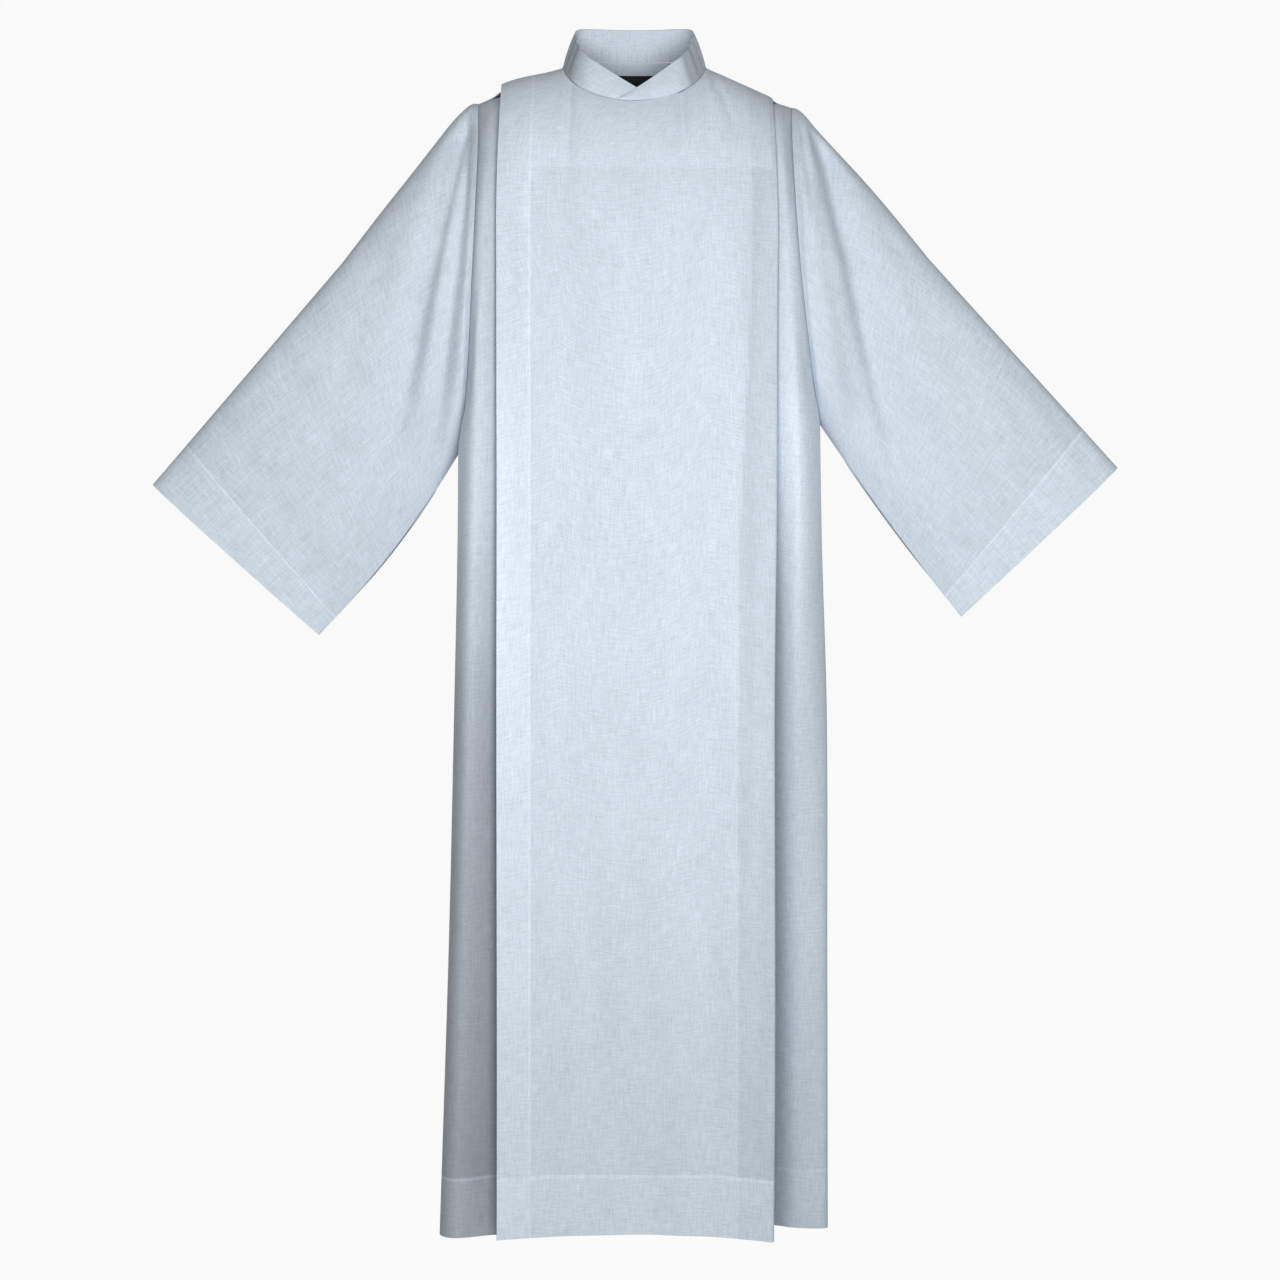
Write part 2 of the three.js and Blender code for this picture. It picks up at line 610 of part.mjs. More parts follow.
function frontWrapGeometry() {
  const plain = CHEST_COLUMNS.filter((x) => x <= WRAP_FOLD - 8);
  const rows = panelRows(FRONT, (row) => [
    ...plain.map((x) => placeOnFront(x, row, wrapGap(x, row))),
    ...pleatColumns(LEFT, row, WRAP_FOLD, 0),
  ]);
  return panelWall(FRONT, rows, hemThickness);
}

function frontUnderGeometry() {
  const plain = CHEST_COLUMNS.filter((x) => x >= UNDER_FOLD + 8 && x < SHOULDER_COLUMNS[2]);
  const rows = panelRows(FRONT, (row) => {
    const height = placeOnFront(SHOULDER_COLUMNS[2], row, 0).z;
    const edge = readTable(UNDER_EDGE, "z", "x", height);
    return [
      ...pleatColumns(RIGHT, row, -UNDER_FOLD, underGap(UNDER_FOLD, row)).reverse(),
      ...[...plain, edge].map((x) => placeOnFront(x, row, underGap(x, row))),
    ];
  });
  return panelWall(FRONT, rows, hemThickness);
}

function backGeometry() {
  const plain = CHEST_COLUMNS.filter((x) => Math.abs(x) < BACK_SIDE_FROM - 5).toReversed();
  const rows = panelRows(BACK, (row) => [
    ...backSideColumns(LEFT, row, BACK_SIDE_FROM).reverse(),
    ...plain.map((x) => bodyPoint(x, dropOfRow(row, x), BACK, 0)),
    ...backSideColumns(RIGHT, row, BACK_SIDE_FROM),
  ]);
  return panelWall(BACK, rows, hemThickness);
}

// The doubled strip inside the wrap's free edge, from its shoulder to the hem
function wrapFacingGeometry() {
  const inset = WALL + FACING.gap;
  const columns = CHEST_COLUMNS.filter((x) => x <= WRAP_EDGE + FACING.stripWidth + 2);
  const rows = panelRows(FRONT, (row) => {
    const hem = row >= FIRST_HEM_ROW ? HEM_EXTRA : 0;
    return columns.map((x) => placeOnFront(x, row, wrapGap(x, row) + inset + hem));
  });
  return panelWall(FRONT, rows, () => FACING.wall);
}

// The shallow yoke facing inside the wrap, from the strip to the pleat
function yokeFacingGeometry() {
  const inset = WALL + FACING.yokeGap;
  const from = WRAP_EDGE + FACING.stripWidth + 3;
  const columns = CHEST_COLUMNS.filter((x) => x >= from && x < SIDE_PLEATS.left[0].turnX - 8);
  const yokeRow = (row) => columns.map((x) => placeOnFront(x, row, wrapGap(x, row) + inset));
  return panelWall(FRONT, panelRows(FRONT, yokeRow, YOKE_ROW + 1), () => FACING.wall);
}

// Half the sleeve's thickness at a share of its width, below its upper edge
function sleeveDepth(share, halfDepth) {
  const body = SLEEVE_FULLNESS * halfDepth * share ** SLEEVE_EDGE_POWER * (1 - share);
  return body + SLEEVE_LOW_EDGE_ROUNDING * share * Math.sqrt(1 - share);
}

// A place on the armhole's edge, straight between the rows of the body's panels
function armholePlace(side, facing, share) {
  const hole = ARMHOLES[sideName(side)];
  const nearUnderarm = 0.99999 * ((hole.topZ - hole.underarmZ) / (hole.topZ - HEM_Z));
  const row = Math.max(1, ARMHOLE_ROWS.findIndex((value) => value >= share));
  const [low, high] = [ARMHOLE_ROWS[row - 1], ARMHOLE_ROWS[row]];
  const upper = endPoint(side, facing, low * nearUnderarm);
  return upper.lerp(endPoint(side, facing, high * nearUnderarm), (share - low) / (high - low));
}

// A place on a sleeve. share runs from its upper to its lower edge, along from armhole to cuff.
function sleevePoint(side, facing, share, along) {
  const name = sideName(side);
  const hole = ARMHOLES[name];
  const sleeve = SLEEVES[name];
  const start = armholePlace(side, facing, share);
  start.x += side * SEAM_GAP;
  const cuff = new THREE.Vector3(
    side * mix(sleeve.topX, sleeve.lowX, share),
    sleeve.middleY + facing * sleeveDepth(share, SLEEVE_HALF_DEPTH.at(-1).depth),
    mix(sleeve.topZ, sleeve.lowZ, share),
  );
  const point = start.clone().lerp(cuff, along);
  const halfDepth = readTable(SLEEVE_HALF_DEPTH, "along", "depth", along);
  const draped = sleeve.middleY * along + facing * sleeveDepth(share, halfDepth);
  point.y = mix(start.y, draped, smooth(along / SLEEVE_OPENS));
  const settled = smooth((along - SLEEVE_PUFF.lasts) / SLEEVE_PUFF.length);
  const puffed = smooth(along / SLEEVE_PUFF.rises) * (1 - settled);
  point.y += facing * SLEEVE_PUFF.height * puffed * Math.min(1, 6 * share * (1 - share));
  // The head of the sleeve bulges over the end of the shoulder, and its lower edge sags
  const head = readTable(SLEEVE_HEAD, "along", name, along) * (1 - share) ** 3;
  const sag = sleeve.sag * share ** 3 * Math.sin(Math.PI * along);
  point.x += side * (head * HEAD_DIRECTION.out - sag * SAG_DIRECTION.in);
  point.z += head * HEAD_DIRECTION.up - sag * SAG_DIRECTION.down;
  const opens = smooth(along / SLEEVE_FOLDS_OPEN);
  const folds = foldPushes(SLEEVE_FOLDS[name], point.x, point.z);
  const held = smooth(share / 0.08) * smooth((1 - share) / 0.12);
  const push = folds * opens * held;
  // A deep fold stops short of the sleeve's other wall
  const middle = sleeve.middleY * along * smooth(along / SLEEVE_OPENS);
  const room = Math.max(0.01, Math.abs(point.y - middle) - SLEEVE_LEAST_HALF_DEPTH);
  point.y -= facing * (push > 0 ? room * Math.tanh(push / room) : push);
  return point;
}

function sleeveGeometry(side) {
  const sleeve = SLEEVES[sideName(side)];
  const hole = ARMHOLES[sideName(side)];
  const length = Math.hypot(sleeve.topX - ARMHOLE_X[0][sideName(side)], sleeve.topZ - hole.topZ);
  const hemFold = 1 - CUFF_HEM_DEPTH / length;
  const step = HEM_STEP / length;
  const stations = [...SLEEVE_STATIONS, hemFold - step, hemFold + step, 1];
  const front = SLEEVE_SHARES.map((share) => ({ facing: FRONT, share }));
  const behind = SLEEVE_SHARES.slice(1, -1).map((share) => ({ facing: BACK, share }));
  const ring = [...front, ...behind.reverse()];
  const rows = stations.map((along) =>
    ring.map(({ facing, share }) => {
      const point = sleevePoint(side, facing, share, along);
      const onEdge = share === 0 || share === 1;
      if (onEdge) point.y = sleeve.middleY * smooth(along / SLEEVE_OPENS);
      return point;
    }),
  );
  if (side === LEFT) rows.forEach((line) => line.reverse());
  const firstHem = stations.length - 2;
  return clothWall(rows, (r) => (r >= firstHem ? WALL + HEM_EXTRA : WALL), {
    ring: true,
    // At the armhole the wall does not reach back across the seam into the body
    adjustInner: (point, r, c) => {
      if (r === 0) point.x = side * Math.max(side * point.x, side * rows[0][c].x);
      return point;
    },
  });
}

// The collar's seam round the neck. turn is 0 at the middle of the back and grows towards the
// wearer's left. Past half a turn it has crossed the middle of the front.
function neckSeam(turn) {
  const facing = Math.cos(turn) >= 0 ? BACK : FRONT;
  const share = Math.asin(Math.min(1, Math.max(-1, Math.sin(turn)))) / (Math.PI / 2);
  return columnTop(share * NECK_REACH, facing);
}

function collarGeometry() {
  const turnAt = (past) => Math.PI + Math.asin(past / NECK.halfWidth);
  const slantZ = neckSeam(Math.PI - Math.asin(COLLAR.slantFrom / NECK.halfWidth)).z;
  const quarter = NECK_TURNS.map((turn) => (turn * Math.PI) / 180);
  const half = [...quarter, ...quarter.slice(0, -1).reverse().map((turn) => Math.PI - turn)];
  const turns = [
    turnAt(COLLAR.overTipPast),
    ...half.toReversed(),
    ...half.slice(1).map((turn) => -turn),
    -turnAt(COLLAR.underTipPast),
  ];
  const lowest = [];
  const middle = [];
  const highest = [];
  for (const turn of turns) {
    const side = turn < 0 ? RIGHT : LEFT;
    const tipPast = side === LEFT ? COLLAR.overTipPast : COLLAR.underTipPast;
    const seam = neckSeam(turn);
    // Towards its point the upper edge runs straight down across the front
    const tipZ = neckSeam(turnAt(tipPast)).z + COLLAR.tipHeight;
    const fromTip = (tipPast + side * seam.x) / (COLLAR.slantFrom + tipPast);
    const slanted = Math.abs(turn) > Math.PI / 2 && fromTip < 1;
    const height = slanted
      ? Math.max(COLLAR.tipHeight, mix(tipZ, slantZ + COLLAR.height, fromTip) - seam.z)
      : COLLAR.height;
    const depth = Math.cos(turn) > 0 ? NECK.back : NECK.front;
    const outward = new THREE.Vector3(
      Math.sin(turn) / NECK.halfWidth,
      Math.cos(turn) / depth,
      0,
    ).normalize();
    // The wearer's left end crosses outside the right one
    const nearFront = smooth((Math.abs(turn) - Math.PI * 0.72) / 0.5);
    const base = seam.clone().addScaledVector(outward, side * (COLLAR.cross / 2) * nearFront);
    base.z += COLLAR.clear;
    const top = base.clone().addScaledVector(outward, (-COLLAR.lean * height) / COLLAR.height);
    top.z += height;
    lowest.push(base);
    middle.push(base.clone().lerp(top, 0.5).addScaledVector(outward, 1.2));
    highest.push(top);
  }
  return clothWall([highest, middle, lowest], () => COLLAR.wall);
}

// The narrow tape that covers the collar seam inside the back of the neck
function neckTapeGeometry() {
  const places = neckPlaces.filter((x) => Math.abs(x) < NECK_TAPE.reach).reverse();
  const rows = [0, 0.3, 1].map((share) =>
    places.map((x) => {
      const full = NECK_TAPE.depth * smooth((NECK_TAPE.reach + 8 - Math.abs(x)) / 34);
      const drop = (full * share) / (NECK.backRise - HEM_Z);
      return bodyPoint(x, drop, BACK, WALL + NECK_TAPE.gap);
    }),
  );
  return clothWall(rows, () => NECK_TAPE.wall);
}

const cloth = (colour) =>
  new THREE.MeshStandardMaterial({
    color: new THREE.Color(colour),
    roughness: 0.92,
    metalness: 0,
    side: THREE.FrontSide,
  });

const PIECES = [
  { name: "front_wrap", geometry: frontWrapGeometry(), colour: "#d3dfe7" },
  { name: "front_under", geometry: frontUnderGeometry(), colour: "#b4bec8" },
  { name: "back", geometry: backGeometry(), colour: "#c4ced8" },
  { name: "sleeve_left", geometry: sleeveGeometry(LEFT), colour: "#cfdbe4" },
  { name: "sleeve_right", geometry: sleeveGeometry(RIGHT), colour: "#cfdbe4" },
  { name: "collar", geometry: collarGeometry(), colour: "#c7d1db" },
  { name: "wrap_facing", geometry: wrapFacingGeometry(), colour: "#e0e8ed" },
  { name: "yoke_facing", geometry: yokeFacingGeometry(), colour: "#d6e1e8" },
  { name: "neck_tape", geometry: neckTapeGeometry(), colour: "#bdc7d2" },
];

const alb = new THREE.Group();
for (const piece of PIECES) {
  const mesh = new THREE.Mesh(piece.geometry, cloth(piece.colour));
  mesh.name = piece.name;
  alb.add(mesh);
}

export default alb;
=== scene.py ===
# %% [markdown]
# A wrap alb in Blender.
# An alb is a long white robe. This one closes by lapping one front over the other, and it has a
# crossed stand collar, wide straight sleeves and a deep pleat at each side. It is shown filled
# out, as worn, with nobody in it. The lesson first writes the garment's shape as functions of
# two numbers, like a map of the cloth, and then turns each map into a thin shell of cloth.

# %% The frame that everything is built around
import math

import bpy
import numpy as np
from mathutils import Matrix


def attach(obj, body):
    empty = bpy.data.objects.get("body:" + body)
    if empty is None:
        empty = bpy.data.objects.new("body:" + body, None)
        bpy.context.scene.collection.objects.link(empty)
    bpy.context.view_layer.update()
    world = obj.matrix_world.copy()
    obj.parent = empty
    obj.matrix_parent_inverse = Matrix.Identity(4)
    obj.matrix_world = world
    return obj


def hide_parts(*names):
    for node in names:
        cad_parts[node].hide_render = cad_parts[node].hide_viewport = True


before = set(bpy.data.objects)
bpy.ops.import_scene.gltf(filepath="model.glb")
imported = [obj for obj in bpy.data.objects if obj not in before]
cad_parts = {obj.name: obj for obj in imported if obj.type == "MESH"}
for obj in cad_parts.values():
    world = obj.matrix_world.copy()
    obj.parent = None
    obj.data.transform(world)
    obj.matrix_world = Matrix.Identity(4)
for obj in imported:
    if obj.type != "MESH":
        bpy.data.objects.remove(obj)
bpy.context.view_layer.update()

# %% [markdown]
# Sizes.
# All sizes below are in millimetres, as a maker writes them, and are turned into metres only when
# a mesh is made. X runs towards the wearer's left, Y towards the back and Z up. The origin is in
# the neck, level with the points where the shoulder seams meet the collar. Short tables hold what
# changes with height or along a sleeve, which is their first column, and a smooth curve is read
# through their rows.

# %% Small helpers: a table, a smooth curve through it, and soft steps
METRES = 0.001
LEFT, RIGHT = 1, -1
FRONT, BACK = -1, 1
SIDE_NAMES = {LEFT: "left", RIGHT: "right"}


def table(names, *rows):
    return dict(zip(names.split(), np.array(rows, float).T))


def read(rows, column, at):
    keys, values = next(iter(rows.values())), rows[column]
    sign = 1 if keys[-1] > keys[0] else -1
    keys = keys * sign
    at = np.clip(np.asarray(at, float) * sign, keys[0], keys[-1])
    slopes = np.gradient(values, keys)
    slopes[1:-1] = (values[2:] - values[:-2]) / (keys[2:] - keys[:-2])
    i = np.clip(np.searchsorted(keys, at) - 1, 0, len(keys) - 2)
    span = keys[i + 1] - keys[i]
    t = (at - keys[i]) / span
    start = (2 * t**3 - 3 * t**2 + 1) * values[i] + (t**3 - 2 * t**2 + t) * span * slopes[i]
    end = (3 * t**2 - 2 * t**3) * values[i + 1] + (t**3 - t**2) * span * slopes[i + 1]
    return start + end


def smooth(t):
    t = np.clip(t, 0, 1)
    return t * t * (3 - 2 * t)


def bell(distance, width):
    return np.exp(-((distance / width) ** 2))


def mix(a, b, t):
    return a + (b - a) * t


def point(x, y, z):
    return np.stack(np.broadcast_arrays(x, y, z), axis=-1)


trial = table("at value", (0, 0), (1, 4))
print("curve through a table, half way:", read(trial, "value", 0.5))

# %% [markdown]
# The neckline and the shoulder seams.
# Every column of cloth on the body starts either on the neckline, which is an oval that dips at
# the front, or on a shoulder seam, which slopes and then rounds off. A column is named by the
# place where it crosses the chest. The wearer's left shoulder slopes more than the right one,
# because the photograph shows it so.

# %% Neckline and shoulders
HEM_Z = -1442
HEM_RISE = 4
HEM_DEPTH = 73
NECK = {
    "half_width": 89, "front": 70, "back": 64, "front_drop": 52,
    "back_rise": 16.5, "back_flatness": 2.2,
    "front_power": 0.5, "front_drop_power": 1.05, "back_power": 0.7,
}
NECK_REACH = 92
SHOULDER_SLOPE = {LEFT: 0.45, RIGHT: 0.385}
SHOULDER_ROUND_FROM = 185
SHOULDER_ROUNDNESS = 0.012
SHOULDER_NARROWING = 0.955


def ridge_z(x):
    slope = np.where(x > 0, SHOULDER_SLOPE[LEFT], SHOULDER_SLOPE[RIGHT])
    droop = SHOULDER_ROUNDNESS * np.maximum(0, np.abs(x) - SHOULDER_ROUND_FROM) ** 2
    return -slope * np.maximum(0, np.abs(x) - NECK["half_width"]) - droop


def column_top(chest_x, facing):
    out = np.abs(chest_x)
    sign = np.where(chest_x < 0, -1.0, 1.0)
    seam_x = sign * (NECK["half_width"] + (out - NECK_REACH) * SHOULDER_NARROWING)
    turn = np.minimum(1, out / NECK_REACH) * math.pi / 2
    around = np.maximum(0, np.cos(turn))
    neck_x = sign * NECK["half_width"] * np.sin(turn)
    if facing == FRONT:
        neck_y = -NECK["front"] * around ** NECK["front_power"]
        neck_z = -NECK["front_drop"] * around ** NECK["front_drop_power"]
    else:
        behind = around ** NECK["back_power"]
        rise = 1 - (1 - behind) ** NECK["back_flatness"]
        neck_y, neck_z = NECK["back"] * behind, NECK["back_rise"] * rise
    on_seam = out >= NECK_REACH
    return (
        np.where(on_seam, seam_x, neck_x),
        np.where(on_seam, 0, neck_y),
        np.where(on_seam, ridge_z(seam_x), neck_z),
    )


print("height of the shoulder seams 180 mm out:", np.round(ridge_z(np.array([-180, 180])), 1))

# %% [markdown]
# Folds and creases.
# Cloth that hangs from a shoulder shows long soft troughs and ridges. Each row of the tables below is
# one of them: a curve through three places seen from the front, with its width, its depth and the
# length over which it comes in. A cloth simulation would also make folds, but not these folds in these
# places, so each one is listed. A negative depth is a ridge.

# %% Folds of the body, front and back
FOLD_COLUMNS = "x0 z0 x1 z1 x2 z2 width depth fade"
BODY_FOLDS = {
    FRONT: table(
        FOLD_COLUMNS,
        (-112, -120, -76, -430, -48, -1330, 34, 6, 90),
        (132, -110, 128, -520, 118, -1250, 22, -4, 90),
        (156, -150, 152, -560, 150, -1250, 16, 4, 90),
        # Short drag lines below the collar, and the crease beside it on the left shoulder
        (-79, -52, -80, -78, -82, -130, 4.5, 6, 26),
        (-60, -66, -62, -100, -66, -190, 9, -1.2, 30),
        (58, -58, 60, -84, 62, -140, 4.5, 6, 26),
        (98, -30, 108, -44, 122, -84, 4, 5, 14),
        (86, -48, 92, -90, 96, -200, 8, 2.0, 40),
        # Long faint folds on the wrap, uneven in width and length
        (-20, -110, -14, -420, 2, -900, 26, 1.6, 120),
        (22, -100, 30, -360, 44, -820, 20, -1.5, 120),
        (64, -200, 72, -520, 84, -1100, 24, 1.4, 160),
        (-146, -70, -148, -300, -150, -700, 9, 0.9, 80),
        (-104, -640, -98, -940, -92, -1480, 22, -1.8, 200),
        (-8, -800, 4, -1100, 10, -1500, 30, 1.8, 220),
        (96, -760, 92, -1050, 90, -1500, 18, 1.3, 200),
        (40, -980, 44, -1200, 50, -1520, 24, -1.6, 200),
    ),
    BACK: table(
        FOLD_COLUMNS,
        (-158, -80, -160, -700, -164, -1530, 20, 34, 620),
        (-62, -110, -66, -700, -62, -1530, 34, 13, 420),
        (58, -110, 62, -700, 66, -1530, 34, 13, 420),
        (158, -80, 160, -700, 164, -1530, 20, 34, 620),
        # Drag lines under the collar and between the shoulder blades
        (-70, -20, -84, -90, -96, -210, 9, 1.8, 40),
        (66, -24, 82, -96, 92, -230, 8, 1.6, 40),
        (-8, -60, -4, -240, 2, -520, 18, 1.8, 110),
        # Smaller folds between the deep ones
        (-112, -160, -110, -560, -106, -1200, 14, -3, 160),
        (-22, -300, -26, -700, -30, -1500, 15, -3.2, 220),
        (24, -260, 20, -640, 16, -1300, 13, 2.4, 200),
        (108, -200, 112, -640, 116, -1500, 15, -2.8, 200),
        (132, -460, 130, -900, 134, -1530, 9, 2.2, 200),
        (-136, -420, -132, -820, -134, -1530, 10, 2.0, 200),
    ),
}
RIPPLES = table(
    "across down phase height",
    (0.061, 0.0041, 0.4, 0.55),
    (0.102, 0.0073, 2.1, 0.32),
    (0.037, 0.0112, 4.0, 0.5),
    (0.151, 0.0031, 1.2, 0.2),
    (0.082, 0.0154, 5.3, 0.28),
)
FOLD_LEAD_IN = 40
FOLD_TAIL = {"over": 60, "length": 160}


def fold_pushes(folds, x, z):
    total = np.zeros(np.broadcast(x, z).shape)
    for i in range(len(folds["x0"])):
        fold = {name: folds[name][i] for name in folds}
        via_x = 2 * fold["x1"] - (fold["x0"] + fold["x2"]) / 2
        via_z = 2 * fold["z1"] - (fold["z0"] + fold["z2"]) / 2
        bend = fold["z0"] - 2 * via_z + fold["z2"]
        run = 2 * (via_z - fold["z0"])
        below = np.maximum(0, fold["z0"] - z)
        root = np.sqrt(np.maximum(0, run * run - 4 * bend * below))
        t = np.clip(2 * below / (root - run), 0, 1)
        line_x = (1 - t) ** 2 * fold["x0"] + 2 * t * (1 - t) * via_x + t * t * fold["x2"]
        starts = smooth((fold["z0"] + FOLD_LEAD_IN - z) / fold["fade"])
        ends = smooth((z - fold["z2"] + FOLD_TAIL["over"]) / FOLD_TAIL["length"])
        skew, spread = fold.get("skew", 1), fold.get("spread", 1)
        width = fold["width"] * spread ** (2 * t - 1) * np.where(x > line_x, skew, 1 / skew)
        total += fold["depth"] * starts * ends * bell(x - line_x, width)
    return total


def ripples(x, z):
    waves = zip(*RIPPLES.values())
    return sum(high * np.sin(x * a + z * d + phase) for a, d, phase, high in waves)


print("folds on the front and back:", [len(BODY_FOLDS[face]["x0"]) for face in (FRONT, BACK)])

# %% [markdown]
# The face of the body.
# From the shoulder seam the cloth curves forward like a quarter of an oval until it reaches the
# chest, and from there it hangs nearly upright to the hem. A place on it is found from its
# column, from its drop (0 at the top, 1 at the hem), and from its gap, which is how far this
# layer lies inside the garment's own face. The gap is what lets a second front, a facing or a
# tape follow the first one without ever touching it.

# %% A place on the body's face
BODY_DEPTH = {
    FRONT: table(
        "z middle right left",
        (0, 116, 86, 86),
        (-230, 118, 97, 99),
        (-440, 120, 112, 114),
        (-700, 120, 122, 126),
        (-1000, 119, 129, 136),
        (-1300, 118, 133, 143),
        (-1442, 117, 135, 146),
    ),
    BACK: table(
        "z middle right left",
        (0, 100, 84, 84),
        (-200, 106, 96, 96),
        (-440, 104, 102, 102),
        (-700, 106, 110, 110),
        (-1000, 110, 118, 118),
        (-1442, 116, 128, 128),
    ),
}
FULL_DEPTH_Z = {"middle": -232, "side": -188}
SQUARENESS = {FRONT: 2, BACK: 2.6}
FACE_EDGE = 175
FACE_TURN = 2.2
COLUMN_SETTLES = 190
TOP_CURVE_LIMIT = 0.95
RIPPLES_START = {"below_seam": 8, "fade": 60}
DRIFT = table(
    "z right left",
    (0, 0, 0),
    (-110, 1, -1),
    (-190, 3, -3),
    (-340, 4, -5),
    (-545, 5, -6),
    (-790, 5, -9),
    (-1200, 6, -9),
    (-1442, 6, -11),
)


def by_side(rows, x, z):
    return np.where(x > 0, read(rows, "left", z), read(rows, "right", z))


def body_point(chest_x, drop, facing, gap=0.0):
    given = (np.asarray(value, float) for value in (chest_x, drop, gap))
    chest_x, drop, gap = np.broadcast_arrays(*given)
    top_x, top_y, top_z = column_top(chest_x, facing)
    within = np.minimum(1, np.abs(chest_x) / FACE_EDGE)
    depths, power = BODY_DEPTH[facing], SQUARENESS[facing]

    def depth_at(z):
        edge = by_side(depths, chest_x, z)
        return mix(read(depths, "middle", z), edge, within**FACE_TURN)

    def other_part(part):
        return (1 - part**power) ** (1 / power)

    rise = HEM_RISE * (1 - within**2) if facing == FRONT else 0
    height = mix(top_z, HEM_Z + rise, drop)
    full_z = mix(FULL_DEPTH_Z["middle"], FULL_DEPTH_Z["side"], within)
    start = np.minimum(TOP_CURVE_LIMIT, np.abs(top_y) / depth_at(top_z))
    radius = (top_z - full_z) / other_part(start)
    up = np.clip((height - full_z) / radius, 0, 1)
    y = facing * (depth_at(height) - gap) * other_part(up)
    z = np.where(height > full_z, full_z + (radius - gap) * up, height)
    drift = by_side(DRIFT, chest_x, height) * within**3 if facing == FRONT else 0
    x = mix(top_x, chest_x, smooth((top_z - height) / COLUMN_SETTLES)) + drift
    fallen = smooth((top_z - height - RIPPLES_START["below_seam"]) / RIPPLES_START["fade"])
    push = fold_pushes(BODY_FOLDS[facing], x, height) + ripples(x, height) * fallen
    return point(x, y - facing * push, z)


print("middle of the chest:", np.round(body_point(0, 0.3, FRONT), 1))

# %% [markdown]
# Armholes, underarms and sides.
# The armhole is an upright oval, and below the underarm the side seam runs down to the hem. The
# front turns into a deep pleat before it gets there: the cloth folds back behind itself, lies
# deepest in a recess, and comes forward again as the side strip. The pleat is a curve through
# thirteen places in each row, so it can be as sharp as the real one without any extra modelling.

# %% Armholes, side seams and pleats
SEAM_GAP = 0.4
OUTERMOST_X = 240
ARMHOLES = {
    LEFT: {"top": -50, "underarm": -442, "half_depth": 74},
    RIGHT: {"top": -45, "underarm": -477, "half_depth": 74},
}
ARMHOLE_X = table(
    "share left right",
    (0, 196, 194),
    (0.12, 195, 193),
    (0.35, 199, 196),
    (0.55, 205, 200),
    (0.8, 217, 206),
    (1, 229, 216),
)
ARMHOLE_ROUNDNESS = 0.55
ARMHOLE_BULGE_SHARE = 0.62
ARMHOLE_PUFF = 4.5
PUFF_FULL_AT = 0.03
SIDE_BLEND = {"above": 75, "length": 85}
PLEAT_COLUMNS = "z turn_x turn_gap recess_x recess_gap strip_x strip_gap"
SIDE_PLEATS = {
    LEFT: table(
        PLEAT_COLUMNS,
        (0, 157, 7, 167, 10.5, 186, 4),
        (-90, 157, 7, 167, 11, 187, 6),
        (-150, 156, 8, 167, 13, 189, 8),
        (-250, 155, 9, 166, 16, 193, 11),
        (-342, 151, 10, 164, 21, 200, 15),
        (-442, 147, 11, 162, 30, 207, 20),
        (-600, 142, 12, 160, 58, 209, 40),
        (-900, 140, 13, 162, 94, 210, 74),
        (-1200, 140, 14, 165, 112, 211, 90),
        (-1442, 140, 15, 168, 124, 212, 100),
    ),
    RIGHT: table(
        PLEAT_COLUMNS,
        (0, 132, 7, 146, 10.5, 182, 4),
        (-90, 134, 7, 148, 12, 185, 8),
        (-150, 134, 8, 150, 15, 187, 10),
        (-250, 134, 9, 152, 17, 190, 10),
        (-342, 134, 9, 154, 19, 196, 11),
        (-477, 133, 10, 156, 22, 201, 12),
        (-600, 132, 10, 158, 24, 204, 13),
        (-900, 131, 11, 164, 28, 211, 15),
        (-1200, 130, 12, 170, 32, 219, 16),
        (-1442, 130, 12, 174, 36, 225, 18),
    ),
}
BACK_SIDE = table(
    "z strip_x strip_gap",
    (0, 184, 2),
    (-150, 187, 8),
    (-342, 197, 14),
    (-600, 207, 20),
    (-900, 212, 25),
    (-1442, 217, 32),
)
BODY_SIDE_COLUMNS = "z front_x front_y seam_x back_x back_y"
BODY_SIDE = {
    LEFT: table(
        BODY_SIDE_COLUMNS,
        (-442, 230, -30, 229, 228, 38),
        (-600, 232, -34, 231, 232, 48),
        (-800, 237, -38, 235, 237, 58),
        (-1100, 237, -42, 235, 238, 66),
        (-1442, 237, -46, 235, 238, 72),
    ),
    RIGHT: table(
        BODY_SIDE_COLUMNS,
        (-477, 217, -50, 216, 218, 38),
        (-600, 217, -64, 216, 219, 48),
        (-800, 220, -78, 219, 222, 58),
        (-1100, 226, -90, 224, 228, 66),
        (-1442, 236, -98, 233, 236, 72),
    ),
}


def end_point(side, facing, drop):
    hole = ARMHOLES[side]
    z = mix(hole["top"], HEM_Z, drop)
    share = np.clip((hole["top"] - z) / (hole["top"] - hole["underarm"]), 0, 1)
    open_y = hole["half_depth"] * np.maximum(0, np.sin(np.pi * share)) ** ARMHOLE_ROUNDNESS
    in_hole = share < 1
    hole_x = read(ARMHOLE_X, SIDE_NAMES[side], share)
    seam_x = read(BODY_SIDE[side], "seam_x", z)
    x = np.where(in_hole, hole_x, seam_x)
    y = np.where(in_hole, open_y, 0) + SEAM_GAP / 2
    return point(side * x, facing * y, z)


def side_corner(side, drop, facing, strip):
    end = end_point(side, facing, drop)
    z = end[..., 2]
    body = BODY_SIDE[side]
    word = "front" if facing == FRONT else "back"
    below = smooth((ARMHOLES[side]["underarm"] + SIDE_BLEND["above"] - z) / SIDE_BLEND["length"])
    widest = mix(strip, end, ARMHOLE_BULGE_SHARE)
    widest[..., 1] += facing * ARMHOLE_PUFF * np.minimum(1, drop / PUFF_FULL_AT)
    widest[..., 0] = mix(widest[..., 0], side * read(body, word + "_x", z), below)
    widest[..., 1] = mix(widest[..., 1], read(body, word + "_y", z), below)
    return widest, end


